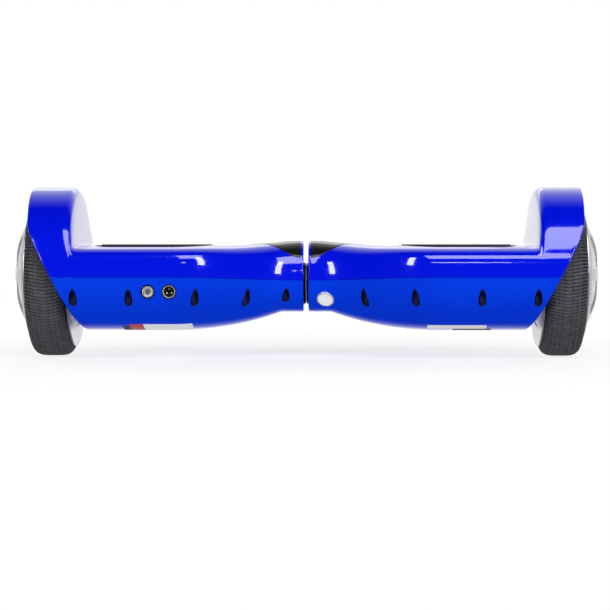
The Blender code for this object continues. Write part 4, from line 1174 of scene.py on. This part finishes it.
def socket_and_button():
    face = FITTING_FACE_Y
    place = along_y(PORT_X, FITTING_Z)
    shell = [(face, 5.5), (face, 6.0), (face + 2.4, 6.0), (face + 2.4, 6.9)]
    for k in range(6):
        shell += [(face + 3.0 + k, 6.9), (face + 3.5 + k, 6.5)]
    shell += [(-82, 6.9), (-82, 10.0), (-80, 10.0), (-80, 7.0), (-73, 7.0), (-73, 5.3), (face + 0.8, 5.3)]
    body = "left_half"
    piece("socket_shell", turned(softened(shell, 0.15), 64, place), body, "chrome", "charge_port_shell")
    insert = [(-82.5, 0), (-82.5, 4.6), (-82.1, 5.0), (-72.0, 5.0), (-72.0, 0)]
    plug = turned(insert, 48, place, False)
    key = rounded_box((PORT_X - 0.8, PORT_X + 0.8), (-88.0, -80.0), (FITTING_Z + 3.6, FITTING_Z + 5.1), 0.3)
    piece("socket_insert", joined(plug, key), body, "black_plastic", "charge_port_insert")
    pins = []
    for turn in (radians(90), radians(210), radians(330)):
        spot = along_y(PORT_X + 2.6 * cos(turn), FITTING_Z + 2.6 * sin(turn))
        tip = [(-86.3, 0), (-86.2, 0.5), (-85.7, 0.85), (-79.0, 0.85), (-79.0, 0)]
        pins.append(turned(tip, 20, spot, False))
    piece("socket_pins", joined(*pins), body, "copper", finish="brass", sharp=50.0)

    # Black rings in the gap round each fitting, put in for the shade in that gap; they also hide the flanges
    # behind.
    for name, x, bore, rim_radius in (("socket_shade_ring", PORT_X, 6.1, 7.2), ("button_shade_ring", BUTTON_X, 5.5, 6.8)):
        shade_ring = softened([(face + 1.0, bore), (face + 1.0, rim_radius), (face + 2.3, rim_radius),
                         (face + 2.3, bore)], 0.3)
        piece(name, turned(shade_ring, 56, along_y(x, FITTING_Z)), body, "black_plastic")

    place = along_y(BUTTON_X, FITTING_Z)
    bezel = [(face, 4.4), (face, 5.1), (face + 0.5, 5.4), (face + 2.4, 5.4), (face + 2.4, 6.2), (-82, 6.2)]
    bezel += [(-82, 9.0), (-80, 9.0), (-80, 6.2), (-76, 6.2), (-76, 4.3), (face + 0.6, 4.3)]
    piece("button_bezel", turned(softened(bezel, 0.2), 64, place), body, "chrome", "power_button_bezel")
    cap = [(face + 1.4, 0), (face + 1.4, 2.8), (face + 0.7, 3.1), (face + 0.6, 3.6), (face + 0.9, 4.0)]
    cap += [(-75.7, 4.0), (-75.7, 5.2), (-73.7, 5.2), (-73.7, 0)]
    body = "power_button"
    piece("button_cap", turned(cap, 56, place, False), body, "button_grey", "power_button", finish="chrome",
          sharp=40.0)
    dome = [(face + 0.8 + 0.5 * (r / 2.7) ** 2 + (0.1 if k % 2 else 0.0), r)
            for k, r in enumerate(steps(0.0, 2.7, 12))]
    lens = turned(dome + [(face + 2.0, 2.7), (face + 2.0, 0)], 48, place, False)
    piece("button_lens", lens, body, "button_grey", sharp=40.0)


# CAD nodes that stay

def finish_kept_nodes():
    for part in frame["record"]["subparts"]:
        mesh = frame["nodes"][part["node"]].data
        mesh.materials.clear()
        mesh.materials.append(FINISHES[part["material_slot"]])


# Floor, light and camera

def floor():
    """Pale floor that turns plain white away from the board."""
    bm = bmesh.new()
    bmesh.ops.create_grid(bm, x_segments=8, y_segments=8, size=6000.0)
    bmesh.ops.translate(bm, vec=(0, 0, -0.05), verts=bm.verts)
    made = Finish("floor", (0.93, 0.93, 0.94), 0.55, Specular_IOR_Level=0.2)
    made.tint(made.noise(3.0, 3.0), (0.4, 0.8), (0.9, 0.9, 0.91))
    made.gloss(made.noise(40.0, 4.0), (0.5, 0.65))
    away = made.node("ShaderNodeVectorMath", {0: made.place}, operation="LENGTH").outputs["Value"]
    glow = made.node("ShaderNodeEmission", {"Color": (1.0, 1.0, 1.0, 1.0)}).outputs[0]
    far = made.node("ShaderNodeMixShader", {0: made.ranged(away, (0.1, 0.5), (0.72, 1.0)), 2: glow})
    made.tree.links.new(made.shader.outputs[0], far.inputs[1])
    made.tree.links.new(far.outputs[0], made.tree.nodes["Material Output"].inputs["Surface"])
    FINISHES["floor"] = made.material
    ground = new_object("floor", bm, "floor")
    ground.visible_glossy = False


def softbox(name, spot, aim, size, radiance):
    light = bpy.data.lights.new(name, "AREA")
    light.shape = "RECTANGLE"
    light.size, light.size_y = size
    light.energy = radiance * pi * size[0] * size[1]
    obj = linked(name, light)
    obj.location = spot
    obj.rotation_euler = (Vector(aim) - Vector(spot)).to_track_quat("-Z", "Y").to_euler()


def studio():
    """White world that lights the board from behind only, and soft lights at the front."""
    world = bpy.data.worlds.new("studio")
    bpy.context.scene.world = world
    world.use_nodes = True
    tree = world.node_tree

    def ramp(value, source, target):
        made = tree.nodes.new("ShaderNodeMapRange")
        for label, number in zip(("From Min", "From Max", "To Min", "To Max"), source + target):
            made.inputs[label].default_value = number
        tree.links.new(value, made.inputs["Value"])
        return made.outputs["Result"]

    def combined(operation, *values):
        made = tree.nodes.new("ShaderNodeMath")
        made.operation = operation
        for number, value in enumerate(values):
            tree.links.new(value, made.inputs[number])
        return made.outputs[0]

    background = tree.nodes["Background"]
    split = tree.nodes.new("ShaderNodeSeparateXYZ")
    tree.links.new(tree.nodes.new("ShaderNodeTexCoord").outputs["Generated"], split.inputs[0])
    rear = ramp(split.outputs[1], (0.2, 0.9), (0.0, 1.0))
    above = ramp(split.outputs[2], (-0.65, -0.25), (0.03, 1.0))
    seen = tree.nodes.new("ShaderNodeLightPath").outputs["Is Camera Ray"]
    strength = combined("MAXIMUM", combined("MULTIPLY", rear, above), seen)
    tree.links.new(strength, background.inputs["Strength"])
    background.inputs["Color"].default_value = (1.0, 1.0, 1.0, 1.0)
    for name, x in (("strip_left", -1.18), ("strip_right", 1.18)):
        softbox(name, (x, -1.62, 0.95), (0.0, 0.0, 0.1), (0.34, 1.4), 11.0)
    softbox("overhead", (0.5, -1.38, 1.8), (0.2, -0.08, 0.11), (1.45, 1.2), 4.5)
    softbox("bar", (0.24, -2.3, 0.62), (0.1, 0.0, 0.1), (0.34, 0.05), 14.0)
    softbox("back", (-0.4, 1.9, 1.1), (0.0, 0.0, 0.1), (1.6, 0.5), 0.6)
    bpy.context.scene.view_settings.view_transform = "Standard"


def camera():
    data = bpy.data.cameras.new("camera")
    data.sensor_width = 36.0
    data.angle = radians(18.33)
    obj = linked("camera", data)
    obj.location = (0.030, -1.913, 0.1128)
    target = Vector((-0.0015, 0.0, 0.051))
    obj.rotation_euler = (target - obj.location).to_track_quat("-Z", "Y").to_euler()
    bpy.context.scene.camera = obj


# The board

def build():
    camera()
    studio()
    floor()
    finish_kept_nodes()
    for half, side in HALVES.items():
        upper_cover(half, side)
        lower_cover(half, side)
        shell_screws(half, side)
        waist_panel(half, side)
        headlight(half, side)
        tyre(half, side)
        rim(half, side)
        inner_cover(half, side)
        hub_cap(half, side)
        footpad(half, side)
    badge()
    labels()
    socket_and_button()


build()
